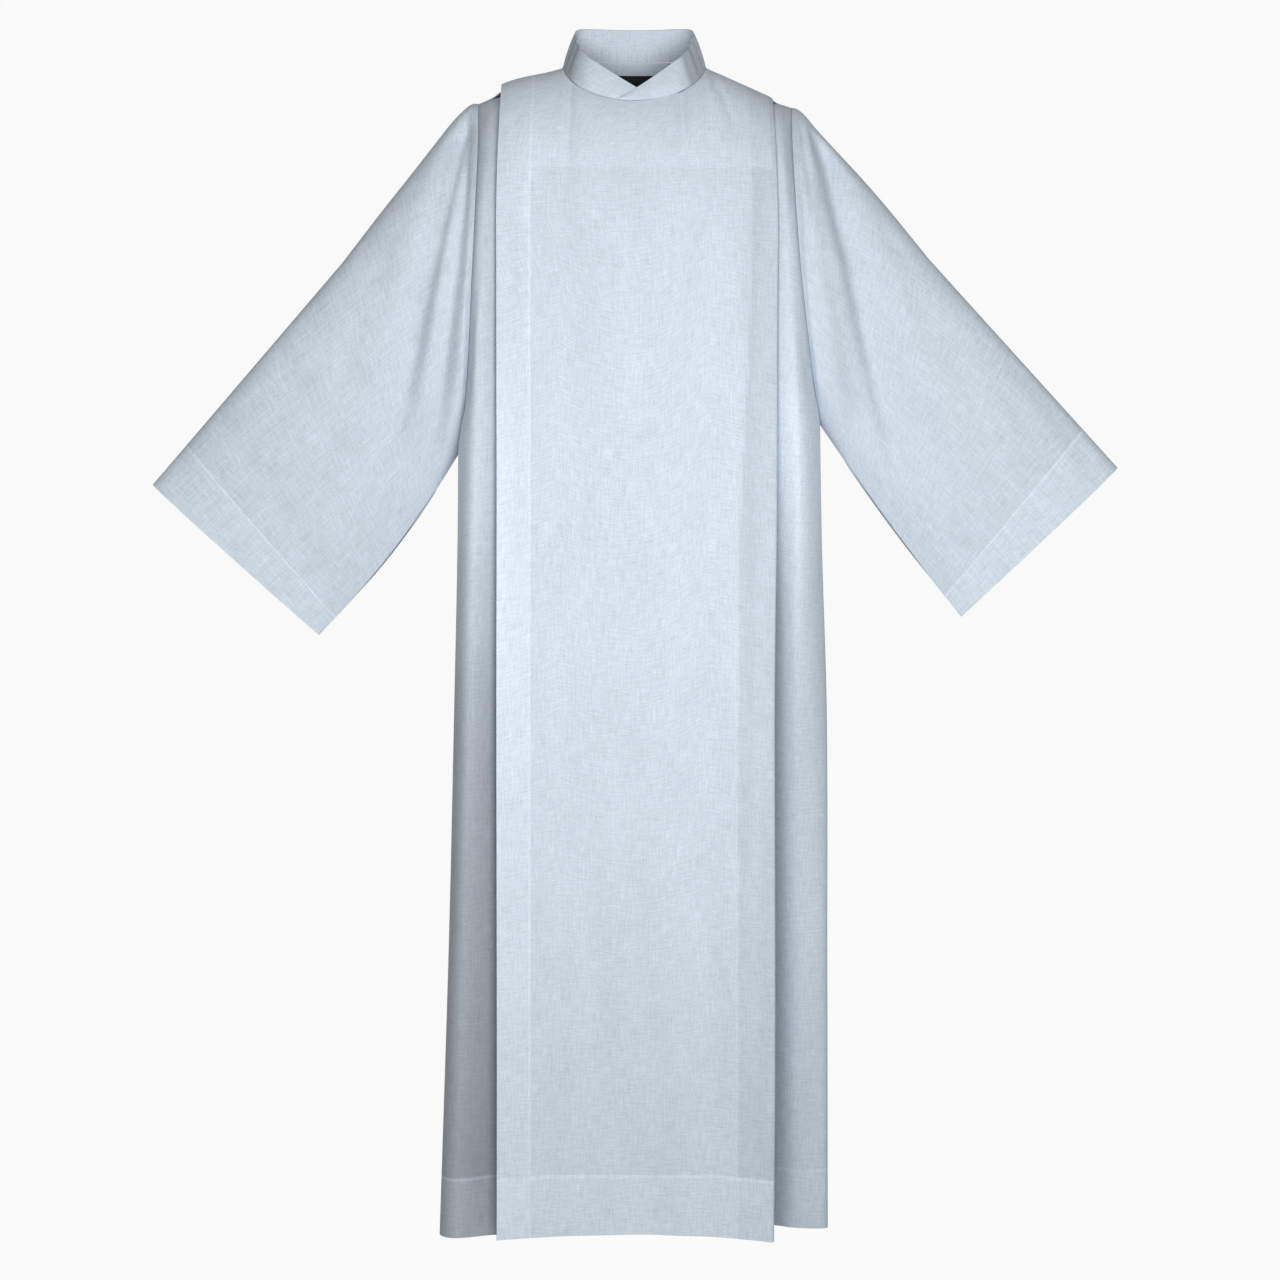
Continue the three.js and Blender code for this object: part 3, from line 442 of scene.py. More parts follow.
print("underarm seam ends, left and right:", [
    np.round(end_point(side, FRONT, 0.3), 1).tolist() for side in (LEFT, RIGHT)
])

# %% [markdown]
# Rows and columns.
# A panel is a grid. Its rows are numbered as in the pattern: 0 is the top, 11 the underarm, 18 and
# 19 lie just above and below the fold of the hem, and 20 is the hem itself. Between them a row may
# be any fraction, so the grid can be as fine as the creases need. On the front the rows are moved
# a little near the neck, so that the yoke facing's lower edge lies level.

# %% Rows
ARMHOLE_ROWS = [0, 0.01, 0.035, 0.09, 0.222, 0.34, 0.46, 0.58, 0.7, 0.82, 0.92, 1]
DROP_ROWS = [0.07, 0.18, 0.33, 0.49, 0.65, 0.81]
YOKE_ROW = 4
YOKE_EDGE_Z = -136
YOKE_SETTLES = 4
HEM_FOLD_ROW = 18.5
FIRST_HEM_ROW = 19
LAST_ROW = 20
HEM_STEP = 0.6
STITCH_LINE = 3.0
DROP_LENGTH = 1400
ROW_STEP = 7.5
COLUMN_STEP = 4.0


def row_shares(side):
    hole = ARMHOLES[side]
    length = hole["top"] - HEM_Z
    underarm = (hole["top"] - hole["underarm"]) / length
    hem_fold = 1 - HEM_DEPTH / length
    below = [mix(underarm, 1, share) for share in DROP_ROWS]
    step = HEM_STEP / DROP_LENGTH
    shares = [share * underarm for share in ARMHOLE_ROWS]
    return np.array(shares + below + [hem_fold - step, hem_fold + step, 1])


def drop_of_row(row, x):
    places = np.arange(LAST_ROW + 1)
    right, left = (np.interp(row, places, row_shares(side)) for side in (RIGHT, LEFT))
    return mix(right, left, smooth((x + OUTERMOST_X) / (2 * OUTERMOST_X)))


def front_drop(row, x):
    drop, edge = drop_of_row(row, x), drop_of_row(YOKE_ROW, x)
    top = column_top(x, FRONT)[2]
    level = (top - YOKE_EDGE_Z) / (top - HEM_Z)
    share = np.where(row <= YOKE_ROW, drop / edge, 1 - smooth((row - YOKE_ROW) / YOKE_SETTLES))
    return drop + (level - edge) * share


def fine_rows(last=LAST_ROW):
    shares = row_shares(RIGHT) * (ARMHOLES[RIGHT]["top"] - HEM_Z)
    rows = []
    for row in range(last):
        count = max(2, math.ceil((shares[row + 1] - shares[row]) / ROW_STEP))
        if row == math.floor(HEM_FOLD_ROW):
            count = 1
        rows.extend(np.linspace(row, row + 1, count, endpoint=False))
    line = FIRST_HEM_ROW + (STITCH_LINE + np.array([0, HEM_STEP])) / HEM_DEPTH
    return np.unique(rows + [last] + [row for row in line if row < last])[:, None]


print("rows in a panel:", len(fine_rows()))

# %% [markdown]
# The curve through a pleat.
# A smooth curve through the pleat's places is read at many points, which become the columns. It
# bends evenly even where two places lie very close together, so it makes no loops there.

# %% A curve through places
NO_LENGTH = 1e-4


def curve_through(places, at):
    control = np.stack(np.broadcast_arrays(*places), axis=-2)
    before = 2 * control[..., :1, :] - control[..., 1:2, :]
    after = 2 * control[..., -1:, :] - control[..., -2:-1, :]
    control = np.concatenate([before, control, after], axis=-2)
    i = np.minimum(np.floor(at).astype(int), control.shape[-2] - 4)
    t = (at - i)[:, None]
    p0, p1, p2, p3 = (control[..., i + k, :] for k in range(4))

    def spacing(a, b):
        return np.sqrt(np.linalg.norm(b - a, axis=-1, keepdims=True))

    d1 = np.maximum(NO_LENGTH, spacing(p1, p2))
    d0, d2 = (
        np.where(spacing(a, b) < NO_LENGTH, d1, spacing(a, b)) for a, b in ((p0, p1), (p2, p3))
    )
    leave = ((p1 - p0) / d0 - (p2 - p0) / (d0 + d1) + (p2 - p1) / d1) * d1
    arrive = ((p2 - p1) / d1 - (p3 - p1) / (d1 + d2) + (p3 - p2) / d2) * d1
    bend = -3 * p1 + 3 * p2 - 2 * leave - arrive
    twist = 2 * p1 - 2 * p2 + leave + arrive
    return p1 + leave * t + bend * t**2 + twist * t**3


def steps(counts):
    parts = [np.linspace(i, i + 1, n, endpoint=False) for i, n in enumerate(counts)]
    return np.concatenate(parts + [[len(counts)]])


PLEAT_PLACES = steps([3, 3, 3, 3, 7, 3, 3, 3, 7, 18, 12, 10])
BACK_SIDE_PLACES = steps([3, 12, 10])
print("columns in a pleat:", len(PLEAT_PLACES))

# %% [markdown]
# The bends of a pleat.
# Pressed cloth doesn't fold to nothing: it turns over a small round edge. Each of the pleat's two
# bends is a few places, each so many millimetres from the edge and at a share of the way from
# one layer of the cloth to the next. After them come the recess, the side strip, the widest
# place and the seam. The back's sides are rounded by the same kind of curve.

# %% Columns of the pleats and of the back's sides
TURN_EXTRA = 3.5
AFTER_TURN = 0.3
FOLD_BEND = ((5, 0), (1, 0.16), (0, 0.5), (1, 0.84), (5, 1))
TURN_BEND = ((5, 0), (0.8, 0.2), (0.8, 0.8), (5, 1))


def pleat_columns(side, row, fold_x, face_gap):
    pleats = SIDE_PLEATS[side]
    drop = front_drop(row, side * fold_x)
    height = body_point(side * fold_x, drop, FRONT)[..., 2]
    turn_x, turn_gap, recess_x, recess_gap, strip_x, strip_gap = (
        read(pleats, name, height) for name in PLEAT_COLUMNS.split()[1:]
    )
    turn_gap, recess_gap = turn_gap + face_gap, recess_gap + face_gap
    least = turn_gap + TURN_EXTRA
    after = np.maximum(least, mix(least, recess_gap, AFTER_TURN))

    def at(x, gap):
        return body_point(side * x, drop, FRONT, gap)

    strip = at(strip_x, strip_gap)
    widest, end = side_corner(side, drop_of_row(row, side * OUTERMOST_X), FRONT, strip)
    places = [at(fold_x - back, mix(face_gap, turn_gap, share)) for back, share in FOLD_BEND]
    places += [at(turn_x + back, mix(turn_gap, after, share)) for back, share in TURN_BEND]
    places += [at(recess_x, recess_gap), strip, widest, end]
    return curve_through([place[:, 0] for place in places], PLEAT_PLACES)


def back_side_columns(side, row, face_x):
    drop = drop_of_row(row, side * face_x)
    face = body_point(side * face_x, drop, BACK)
    height = face[..., 2]
    gap = read(BACK_SIDE, "strip_gap", height)
    strip = body_point(side * read(BACK_SIDE, "strip_x", height), drop, BACK, gap)
    widest, end = side_corner(side, drop_of_row(row, side * OUTERMOST_X), BACK, strip)
    places = [place[:, 0] for place in (face, strip, widest, end)]
    return curve_through(places, BACK_SIDE_PLACES)


print("a pleat's grid:", pleat_columns(LEFT, fine_rows(), 180, 0).shape)

# %% [markdown]
# From a grid to a thin shell of cloth.
# A sheet with no thickness would look right from far away, but its edges would vanish and light would
# leak at the folds. So each grid becomes a closed shell about a millimetre thick: the outer face, an
# inner face moved along the cloth's own normal, and a rim. Hems are thicker, because the cloth is
# turned up inside them. Two marks are kept at each point for the finish: how many layers of cloth lie
# on each other there, with painted light and shade worked into the count on the side strips, the facing
# band and the sleeves beside the armholes, and how much painted shade it gets, as all of the inner face
# does, more so below the neck, and the narrow grooves beside the pleats and the collar's sides.

# %% Meshes from grids
RIM_ANGLE = math.radians(62)
HOLLOW_PAINTED_SHADE = {"neck": (2, 8), "beside": (30, 120), "least": 0.55, "full_from": -420, "fade": 260}


def put_in_scene(name, data):
    thing = bpy.data.objects.new(name, data)
    bpy.context.scene.collection.objects.link(thing)
    return thing


def unit(vectors):
    return vectors / np.maximum(1e-9, np.linalg.norm(vectors, axis=-1, keepdims=True))


def inward_of(grid, ring, inside):
    along = np.gradient(grid, axis=0)
    if ring:
        across = np.roll(grid, -1, axis=1) - np.roll(grid, 1, axis=1)
    else:
        across = np.gradient(grid, axis=1)
    normal = unit(np.cross(across, along))
    flip = np.sum(normal * (inside - grid)) < 0
    return (-normal if flip else normal), flip


def lengths_along(grid, axis):
    step = np.linalg.norm(np.diff(grid, axis=axis), axis=-1)
    pad = [(0, 0), (0, 0)]
    pad[axis] = (1, 0)
    return np.pad(np.cumsum(step, axis=axis), pad)


def faces_of(rows, columns, ring, offset, reverse):
    spans = columns if ring else columns - 1
    r, c = np.meshgrid(np.arange(rows - 1), np.arange(spans), indexing="ij")
    after = (c + 1) % columns
    corners = [r * columns + c, (r + 1) * columns + c, (r + 1) * columns + after, r * columns + after]
    quads = np.stack(corners, axis=-1).reshape(-1, 4) + offset
    return quads[:, ::-1] if reverse else quads


def rim_quads(loop, offset, reverse):
    follow = np.roll(loop, -1)
    quads = np.stack([loop, follow, follow + offset, loop + offset], axis=-1)
    return quads[:, ::-1] if reverse else quads


# Painted shade on the inner face: none at the top edge, full a short way below it and further down
# beside the shoulders, and weaker from the chest downwards.
def hollow_shade(grid):
    beside_neck = np.abs(grid[..., 0]) > NECK_REACH
    first, fade = (np.where(beside_neck, *pair) for pair in zip(HOLLOW_PAINTED_SHADE["beside"], HOLLOW_PAINTED_SHADE["neck"]))
    in_the_hollow = smooth((lengths_along(grid, 0) - first) / fade)
    upper = smooth((grid[..., 2] - HOLLOW_PAINTED_SHADE["full_from"]) / HOLLOW_PAINTED_SHADE["fade"])
    return mix(HOLLOW_PAINTED_SHADE["least"], 1, upper) * in_the_hollow


def area_of(grid, ring):
    if ring:
        grid = np.concatenate([grid, grid[:, :1]], axis=1)
    a, b = grid[1:, 1:] - grid[:-1, :-1], grid[1:, :-1] - grid[:-1, 1:]
    return np.linalg.norm(np.cross(a, b), axis=-1).sum() / 2


def mesh_of(name, vertices, quads):
    mesh = bpy.data.meshes.new(name)
    mesh.from_pydata(vertices.tolist(), [], quads.tolist())
    mesh.shade_smooth()
    mesh.set_sharp_from_angle(angle=RIM_ANGLE)
    return mesh


def mark(mesh, name, values):
    attribute = mesh.attributes.new(name, "FLOAT", "POINT")
    attribute.data.foreach_set("value", np.asarray(values, np.float32))


def lay_thread_map(mesh, u, v):
    corners = np.empty(len(mesh.loops), int)
    mesh.loops.foreach_get("vertex_index", corners)
    layer = mesh.uv_layers.new(name="threads")
    places = np.stack([u[corners], v[corners]], axis=-1)
    layer.data.foreach_set("uv", places.astype(np.float32).ravel())


print("area of a square of 10 mm:", area_of(point([[0], [10]], [[0, 10]], 0.0), False))

# %% [markdown]
# One call for every piece.
# The shell keeps its grid for the stitches and the measuring, and gets a map of its threads: the
# distance along the weft and along the warp from the middle of the piece, in metres.

# %% A shell of cloth
CLOTH = 1.0
HEM_CLOTH = 1.9
cloth_pieces = {}


def cloth_shell(node, grid, thickness=CLOTH, layers_and_painted_light=1.0, ring=False, inside=None, adjust=None,
                shaded=True, outer_painted_shade=0.0):
    name = f"{node}_cloth"
    rows, columns = grid.shape[:2]
    if inside is None:
        inside = grid * np.array([1, 0, 1])
    inward, flip = inward_of(grid, ring, inside)
    inner = grid + inward * np.broadcast_to(thickness, (rows, columns))[..., None]
    if adjust is not None:
        inner = adjust(inner)
    count = rows * columns
    places = np.arange(count).reshape(rows, columns)
    quads = [faces_of(rows, columns, ring, 0, flip), faces_of(rows, columns, ring, count, not flip)]
    if ring:
        quads += [rim_quads(places[0], count, flip), rim_quads(places[-1], count, not flip)]
    else:
        edge = np.concatenate([places[0], places[1:, -1], places[-1, -2::-1], places[-2:0:-1, 0]])
        quads.append(rim_quads(edge, count, flip))
    vertices = np.concatenate([grid.reshape(-1, 3), inner.reshape(-1, 3)]) * METRES
    mesh = mesh_of(name, vertices, np.concatenate(quads))
    # The layers mark is the count of layers with painted light and shade worked in; the inside mark is
    # painted shade: the hollow's shade on the inner face, and on the outer face the grooves and the
    # collar's sides.
    mark(mesh, "layers_and_painted_light", np.tile(np.broadcast_to(layers_and_painted_light, (rows, columns)).ravel(), 2))
    shade = hollow_shade(grid).ravel() if shaded else np.zeros(count)
    mark(mesh, "inside", np.concatenate([np.broadcast_to(outer_painted_shade, (rows, columns)).ravel(), shade]))
    weft, warp = lengths_along(grid, 1), lengths_along(grid, 0)
    middle = columns // 2
    u = (weft - weft[:, middle:middle + 1]) * METRES
    v = np.broadcast_to(warp[:, middle:middle + 1], weft.shape) * METRES
    lay_thread_map(mesh, np.tile(u.ravel(), 2), np.tile(v.ravel(), 2))
    cloth_pieces[node] = {
        "piece": put_in_scene(name, mesh), "grid": grid, "outward": -inward, "ring": ring,
    }
    print(f"{name}: {rows} rows, {columns} columns, {len(mesh.polygons)} faces, "
          f"about {area_of(grid, ring) * METRES**2:.3f} square metres of cloth")


print("cloth", CLOTH, "mm, hems", HEM_CLOTH, "mm")

# %% [markdown]
# The two fronts.
# The wearer's left front is the outer one. It runs from its free edge on the wearer's right,
# across the chest, and into the pleat at the left. A facing strip is sewn inside its free edge
# and a shallow yoke facing under the neck, and both show from outside as slightly lighter cloth.
# The right front lies under it at a gap of a few millimetres and shows only at its own pleat. The
# outer front's free corner stands up a little at the shoulder, and the under front comes up with
# it to meet the back.

# %% Places on the fronts
WRAP_EDGE = -172
WRAP_FOLD = 180
UNDER_FOLD = -166
FLAT_ENDS = 8
FACING_WIDTH = 44
BAND_INNER = WRAP_EDGE + FACING_WIDTH
LINE_WIDTH = 0.8
LAYER_GAP = 5.6
CORNER_LIFT = {"height": 9, "from_x": -90, "width": 75, "fade": 0.18}


def joined(*grids):
    return np.concatenate(grids, axis=1)


def places_across(start, stop, *lines):
    places = np.linspace(start, stop, math.ceil((stop - start) / COLUMN_STEP) + 1)
    extra = [line + d for line in lines for d in (-LINE_WIDTH / 2, LINE_WIDTH / 2)]
    return np.unique(np.concatenate([places, extra]))


def lift_share(chest_x, row):
    across = smooth((CORNER_LIFT["from_x"] - chest_x) / CORNER_LIFT["width"])
    return across * (1 - smooth(front_drop(row, chest_x) / CORNER_LIFT["fade"]))


def wrap_gap(chest_x, row):
    return -CORNER_LIFT["height"] * lift_share(chest_x, row)


def under_gap(chest_x, row):
    return LAYER_GAP * (1 - lift_share(chest_x, row))


def on_front(x, row, gap):
    return body_point(x, front_drop(row, x), FRONT, gap)


def keep_to_side(facing):
    def adjust(grid):
        grid[..., 1] = facing * np.maximum(SEAM_GAP / 2, facing * grid[..., 1])
        return grid

    return adjust


def hem_walls(row):
    return np.where(row >= HEM_FOLD_ROW, HEM_CLOTH, CLOTH)


rows = fine_rows()
print("the wrap's corner stands off by", np.round(-wrap_gap(WRAP_EDGE, 0.0), 1), "mm")

# %% [markdown]
# Layers and grooves.
# Layers are counted at every point, so that the finish can make doubled cloth look denser, and the row
# of stitches at each hem a little denser still. On the side strips the count is given instead as
# painted light and shade: the strips are painted lighter near the armhole and darker further down. A
# narrow line of painted shade lies in each groove where a fold rests on a side strip, and fades out to
# its sides; lower down a wider, fainter band of painted shade is added, and a little more beside the
# armhole seam.

# %% Counting layers, and painted light and shade
LINE_DENSITY = 1.3
# Painted light and shade on the side strips, given as layers: lighter near the underarm, darker towards
# the hem.
SIDE_PAINTED_LIGHT_AND_SHADE = table(
    "z left right",
    (-100, 1.5, 1.6),
    (-300, 2.2, 2.2),
    (-520, 4, 2.8),
    (-640, 2.6, 1.5),
    (-788, 1.4, 0.6),
    (-1154, 1.4, 0.35),
    (-1442, 0.9, 0.2),
)
SIDE_HEM_DENSITY = 0.3
PLEAT_TURNS = {"from": 7, "over": 2}
# Painted shade in the grooves: a narrow dark line beside each fold's edge, a wider faint band below the
# underarm, and a little at the armhole seam above it.
GROOVE_PAINTED_SHADE = {
    "width": 1.4, "share": {LEFT: 0.5, RIGHT: 0.15},
    "wide_width": 20, "wide_share": {LEFT: 0.3, RIGHT: 0.06}, "wide_from": -430, "wide_fade": 270,
    "armhole": 0.2, "armhole_from": -420, "armhole_fade": 90, "seam_from": 11.2, "seam_over": 0.8,
}


def doubled_at_hem(row):
    in_line = row < FIRST_HEM_ROW + (STITCH_LINE + HEM_STEP / 2) / HEM_DEPTH
    return np.where(row >= HEM_FOLD_ROW, np.where(in_line, 1 + LINE_DENSITY, 1.0), 0.0)


PLEAT_TURNED = smooth((PLEAT_PLACES - PLEAT_TURNS["from"]) / PLEAT_TURNS["over"])[None, :]


# Up to the pleat's turn the layers are counted; after it they are the side strips' painted light and
# shade.
def pleat_layers_and_painted_light(side, pleat):
    at_side = read(SIDE_PAINTED_LIGHT_AND_SHADE, SIDE_NAMES[side], pleat[:, :1, 2])
    at_hem = doubled_at_hem(rows)
    return mix(1 + at_hem, at_side + SIDE_HEM_DENSITY * at_hem, PLEAT_TURNED)


def pleat_painted_shade(side, pleat, edge_x):
    beside = side * pleat[..., 0] - side * edge_x
    height = pleat[:, :1, 2]
    near = GROOVE_PAINTED_SHADE["share"][side] * bell(beside, GROOVE_PAINTED_SHADE["width"])
    wide = GROOVE_PAINTED_SHADE["wide_share"][side] * bell(beside, GROOVE_PAINTED_SHADE["wide_width"])
    wide = wide * smooth((GROOVE_PAINTED_SHADE["wide_from"] - height) / GROOVE_PAINTED_SHADE["wide_fade"])
    above_underarm = smooth((height - GROOVE_PAINTED_SHADE["armhole_from"]) / GROOVE_PAINTED_SHADE["armhole_fade"])
    at_seam = smooth((PLEAT_PLACES - GROOVE_PAINTED_SHADE["seam_from"]) / GROOVE_PAINTED_SHADE["seam_over"])
    return (near + wide) * PLEAT_TURNED + GROOVE_PAINTED_SHADE["armhole"] * at_seam * above_underarm


print("layers in the hem, at most:", doubled_at_hem(rows).max() + 1)

# %% [markdown]
# The outer front.
# Its grid is the flat part up to the fold and then the pleat. The band of the facing strip has a
# painted highlight half way up, and its own row of stitches runs beside its inner edge.

# %% Outer front
UNDER_EDGE = table("z x", (0, 146), (-250, 146), (-442, 138), (-600, 131), (-1442, 129))
UNDER_EDGE_COLUMN = 127.0
# A painted highlight on the facing band: extra layers half way down, fading above and below.
BAND_PAINTED_HIGHLIGHT = {"extra": 0.7, "z": -640, "reach": 220}
FOLD_EDGE_COLUMNS = 4
band_line = BAND_INNER - STITCH_LINE
wrap_x = places_across(WRAP_EDGE, WRAP_FOLD - FLAT_ENDS, BAND_INNER, band_line)[None, :]
wrap_plain = on_front(wrap_x, rows, wrap_gap(wrap_x, rows))
wrap_pleat = pleat_columns(LEFT, rows, WRAP_FOLD, 0)
under_edge_x = read(UNDER_EDGE, "x", on_front(UNDER_EDGE_COLUMN, rows, 0)[..., 2])
over_under = smooth((under_edge_x - wrap_x + 1) / 2)
in_line = wrap_x >= band_line
painted_highlight = BAND_PAINTED_HIGHLIGHT["extra"] * bell(wrap_plain[..., 2] - BAND_PAINTED_HIGHLIGHT["z"], BAND_PAINTED_HIGHLIGHT["reach"])
in_band = np.where(wrap_x <= BAND_INNER, np.where(in_line, 1 + LINE_DENSITY, 1.0) + painted_highlight, 0.0)
in_yoke = np.where((wrap_x > BAND_INNER) & (rows <= YOKE_ROW), 1.0, 0.0)
wrap_layers_and_highlight = 1 + over_under + in_band + in_yoke + doubled_at_hem(rows)
fold_x = wrap_pleat[:, :FOLD_EDGE_COLUMNS, 0].max(axis=1, keepdims=True)
cloth_shell("front_wrap", keep_to_side(FRONT)(joined(wrap_plain, wrap_pleat)), hem_walls(rows),
            joined(wrap_layers_and_highlight, pleat_layers_and_painted_light(LEFT, wrap_pleat)), adjust=keep_to_side(FRONT),
            outer_painted_shade=joined(0 * wrap_layers_and_highlight, pleat_painted_shade(LEFT, wrap_pleat, fold_x)))

# %% [markdown]
# The under front.
# It runs the other way, from its pleat on the wearer's right to a hidden edge just inside the
# left pleat. Only the pleat and the side strip show, and what lies under the wrap is plain.

# %% Under front
UNDER_FLAT_TO = 120
UNDER_TAIL_FROM = 0.96
under_flat = places_across(UNDER_FOLD + FLAT_ENDS, UNDER_FLAT_TO)
under_tail = under_edge_x * np.linspace(UNDER_TAIL_FROM, 1, 3)
under_x = joined(np.tile(under_flat, (len(rows), 1)), under_tail)
under_plain = on_front(under_x, rows, under_gap(under_x, rows))
under_pleat = pleat_columns(RIGHT, rows, -UNDER_FOLD, under_gap(UNDER_FOLD, rows))
under_grid = keep_to_side(FRONT)(joined(under_pleat[:, ::-1], under_plain))
under_layers = np.tile(1 + doubled_at_hem(rows), under_x.shape[1])
under_painted_shade = pleat_painted_shade(RIGHT, under_pleat, wrap_plain[:, :1, 0])[:, ::-1]
cloth_shell("front_under", under_grid, hem_walls(rows),
            joined(pleat_layers_and_painted_light(RIGHT, under_pleat)[:, ::-1], under_layers),
            adjust=keep_to_side(FRONT), outer_painted_shade=joined(under_painted_shade, 0 * under_layers))

# %% [markdown]
# The back.
# The photograph doesn't show the back, so it is finished plainly: one panel with the same kind of
# long soft folds as the front, falling from the shoulders, and rounded sides that meet the fronts
# at the armholes and the side seams.

# %% Back
BACK_SIDE_FROM = 175
BACK_FLAT_TO = 169
back_x = places_across(-BACK_FLAT_TO, BACK_FLAT_TO)[::-1][None, :]
back_plain = body_point(back_x, drop_of_row(rows, back_x), BACK)
back_left = back_side_columns(LEFT, rows, BACK_SIDE_FROM)[:, ::-1]
back_right = back_side_columns(RIGHT, rows, BACK_SIDE_FROM)
back_grid = keep_to_side(BACK)(joined(back_left, back_plain, back_right))
cloth_shell("back", back_grid, hem_walls(rows), 1 + doubled_at_hem(rows), adjust=keep_to_side(BACK))

# %% [markdown]
# Facings and neck tape.
# These are the flat strips inside the garment that cover its raw edges. They are made from the
# same function as the front and the back, at a larger gap, so they follow every fold of the
# cloth that they are sewn to.

# %% Facings and neck tape
FACING = {"wall": 0.7, "gap": 0.5, "yoke_gap": 1.6, "hem_extra": 1.0}
SOLID_WALL = 1.6
FACING_LAYERS = 2.0
YOKE_BETWEEN = (BAND_INNER + 3, 145)
NECK_TAPE = {"depth": 13, "gap": 2.2, "above": 2, "reach": 64, "ends_past": 8, "narrows": 34}


def facing_shell(node, between, at_rows, inset):
    x = places_across(*between)[None, :]
    grid = keep_to_side(FRONT)(on_front(x, at_rows, wrap_gap(x, at_rows) + inset))
    cloth_shell(node, grid, FACING["wall"], FACING_LAYERS, adjust=keep_to_side(FRONT))


facing_inset = SOLID_WALL + FACING["gap"] + FACING["hem_extra"] * (rows >= HEM_FOLD_ROW)
facing_shell("wrap_facing", (WRAP_EDGE, BAND_INNER), rows, facing_inset)
facing_shell("yoke_facing", YOKE_BETWEEN, fine_rows(YOKE_ROW), SOLID_WALL + FACING["yoke_gap"])

tape_x = places_across(-NECK_TAPE["reach"], NECK_TAPE["reach"])[::-1][None, :]
to_end = NECK_TAPE["reach"] + NECK_TAPE["ends_past"] - np.abs(tape_x)
down = np.linspace(0, 1, 7)[:, None]
tape_drop = NECK_TAPE["depth"] * smooth(to_end / NECK_TAPE["narrows"]) * down
tape_grid = body_point(tape_x, tape_drop / (NECK["back_rise"] - HEM_Z), BACK, NECK_TAPE["gap"])
tape_grid[..., 2] += NECK_TAPE["above"] * (1 - down)
cloth_shell("neck_tape", tape_grid, FACING["wall"], FACING_LAYERS, shaded=False)

# %% [markdown]
# Sleeves.
# Each sleeve is a wide flat tube from the armhole to a straight cuff. A place on it is found from
# its share of the width, from the upper to the lower edge, and from how far along it is. The head
# is gathered into the armhole and stands up a little over the shoulder, and deep folds fall from
# there down the sleeve. The tube starts on the armhole's own oval, a seam's width outside it.

# %% Sleeve sizes and folds
SLEEVES = {
    LEFT: {"top": (603, -500), "low": (408, -686), "middle_y": -4, "sag": 4},
    RIGHT: {"top": (601, -521), "low": (394, -709), "middle_y": -4, "sag": 10},
}
SLEEVE_HEAD = table(
    "along left right",
    (0, 0, 0),
    (0.01, 4, 6),
    (0.03, 6, 9),
    (0.065, 5, 10.5),
    (0.12, 5, 9),
    (0.2, 5.5, 6.5),
    (0.3, 4, 4),
    (0.42, 0, 0),
)
HEAD_DIRECTION = {"out": 0.62, "up": 0.78}
SAG_DIRECTION = {"in": 0.8, "down": 0.6}
SLEEVE_HALF_DEPTH = table("along depth", (0, 66), (0.12, 58), (0.35, 46), (0.7, 36), (1, 30))
SLEEVE_FULLNESS = 2.28
SLEEVE_EDGE_POWER = 0.4
LOW_EDGE_ROUNDING = 8
SLEEVE_OPENS = 0.3
SLEEVE_FOLDS_OPEN = 0.03
SLEEVE_LEAST_HALF_DEPTH = 5
SLEEVE_EDGES_KEEP = {"upper": 0.08, "lower": 0.12}
SLEEVE_RIPPLES = {"strength": 1.3, "slant": 0.6}
SLEEVE_LEAST_ROOM = 0.01
UNDERARM_SHARE = 0.99999
SLEEVE_PUFF = {"height": 6, "rises": 0.028, "lasts": 0.05, "length": 0.3}
CUFF_HEM_DEPTH = 66
SLEEVE_FOLDS = {
    LEFT: table(
        FOLD_COLUMNS + " skew spread",
        # The main fold, steep towards the body and soft outwards
        (226, -86, 263, -245, 326, -490, 16, 20, 60, 1.8, 1.45),
        (226, -70, 234, -110, 246, -170, 4, 6, 24, 1.6, 1.5),
        (214, -130, 226, -250, 262, -430, 10, -3, 90, 1, 1.3),
        # Gathers where the head is set in
        (205, -62, 210, -104, 218, -180, 4, 5.5, 26, 1, 1.3),
        (214, -62, 222, -96, 236, -170, 4, 3.6, 26, 1, 1.3),
        (198, -60, 200, -90, 204, -140, 3.5, 4.5, 22, 1, 1.2),
        (300, -190, 360, -300, 420, -420, 20, 2.4, 90, 1, 1),
        (330, -330, 400, -450, 450, -600, 26, -2.2, 120, 1, 1),
    ),
    RIGHT: table(
        FOLD_COLUMNS + " skew spread",
        # The main fold and, between it and the armhole, a second one
        (-211, -80, -246, -245, -300, -470, 16, 17, 60, 0.56, 1.6),
        (-202, -84, -218, -245, -245, -460, 12, 17, 50, 0.85, 1.2),
        (-204, -64, -206, -104, -210, -170, 4, 2.6, 26, 1, 1.3),
        (-216, -62, -226, -110, -236, -190, 6, -2.4, 30, 1, 1.3),
        (-270, -180, -300, -320, -340, -480, 18, -2.6, 100, 1, 1),
        (-320, -260, -355, -380, -390, -540, 22, 2.6, 120, 1, 1),
        (-400, -330, -440, -440, -470, -560, 26, 2.2, 120, 1, 1),
    ),
}


def sleeve_depth(share, half_depth):
    body = SLEEVE_FULLNESS * half_depth * share**SLEEVE_EDGE_POWER * (1 - share)
    return body + LOW_EDGE_ROUNDING * share * np.sqrt(1 - share)


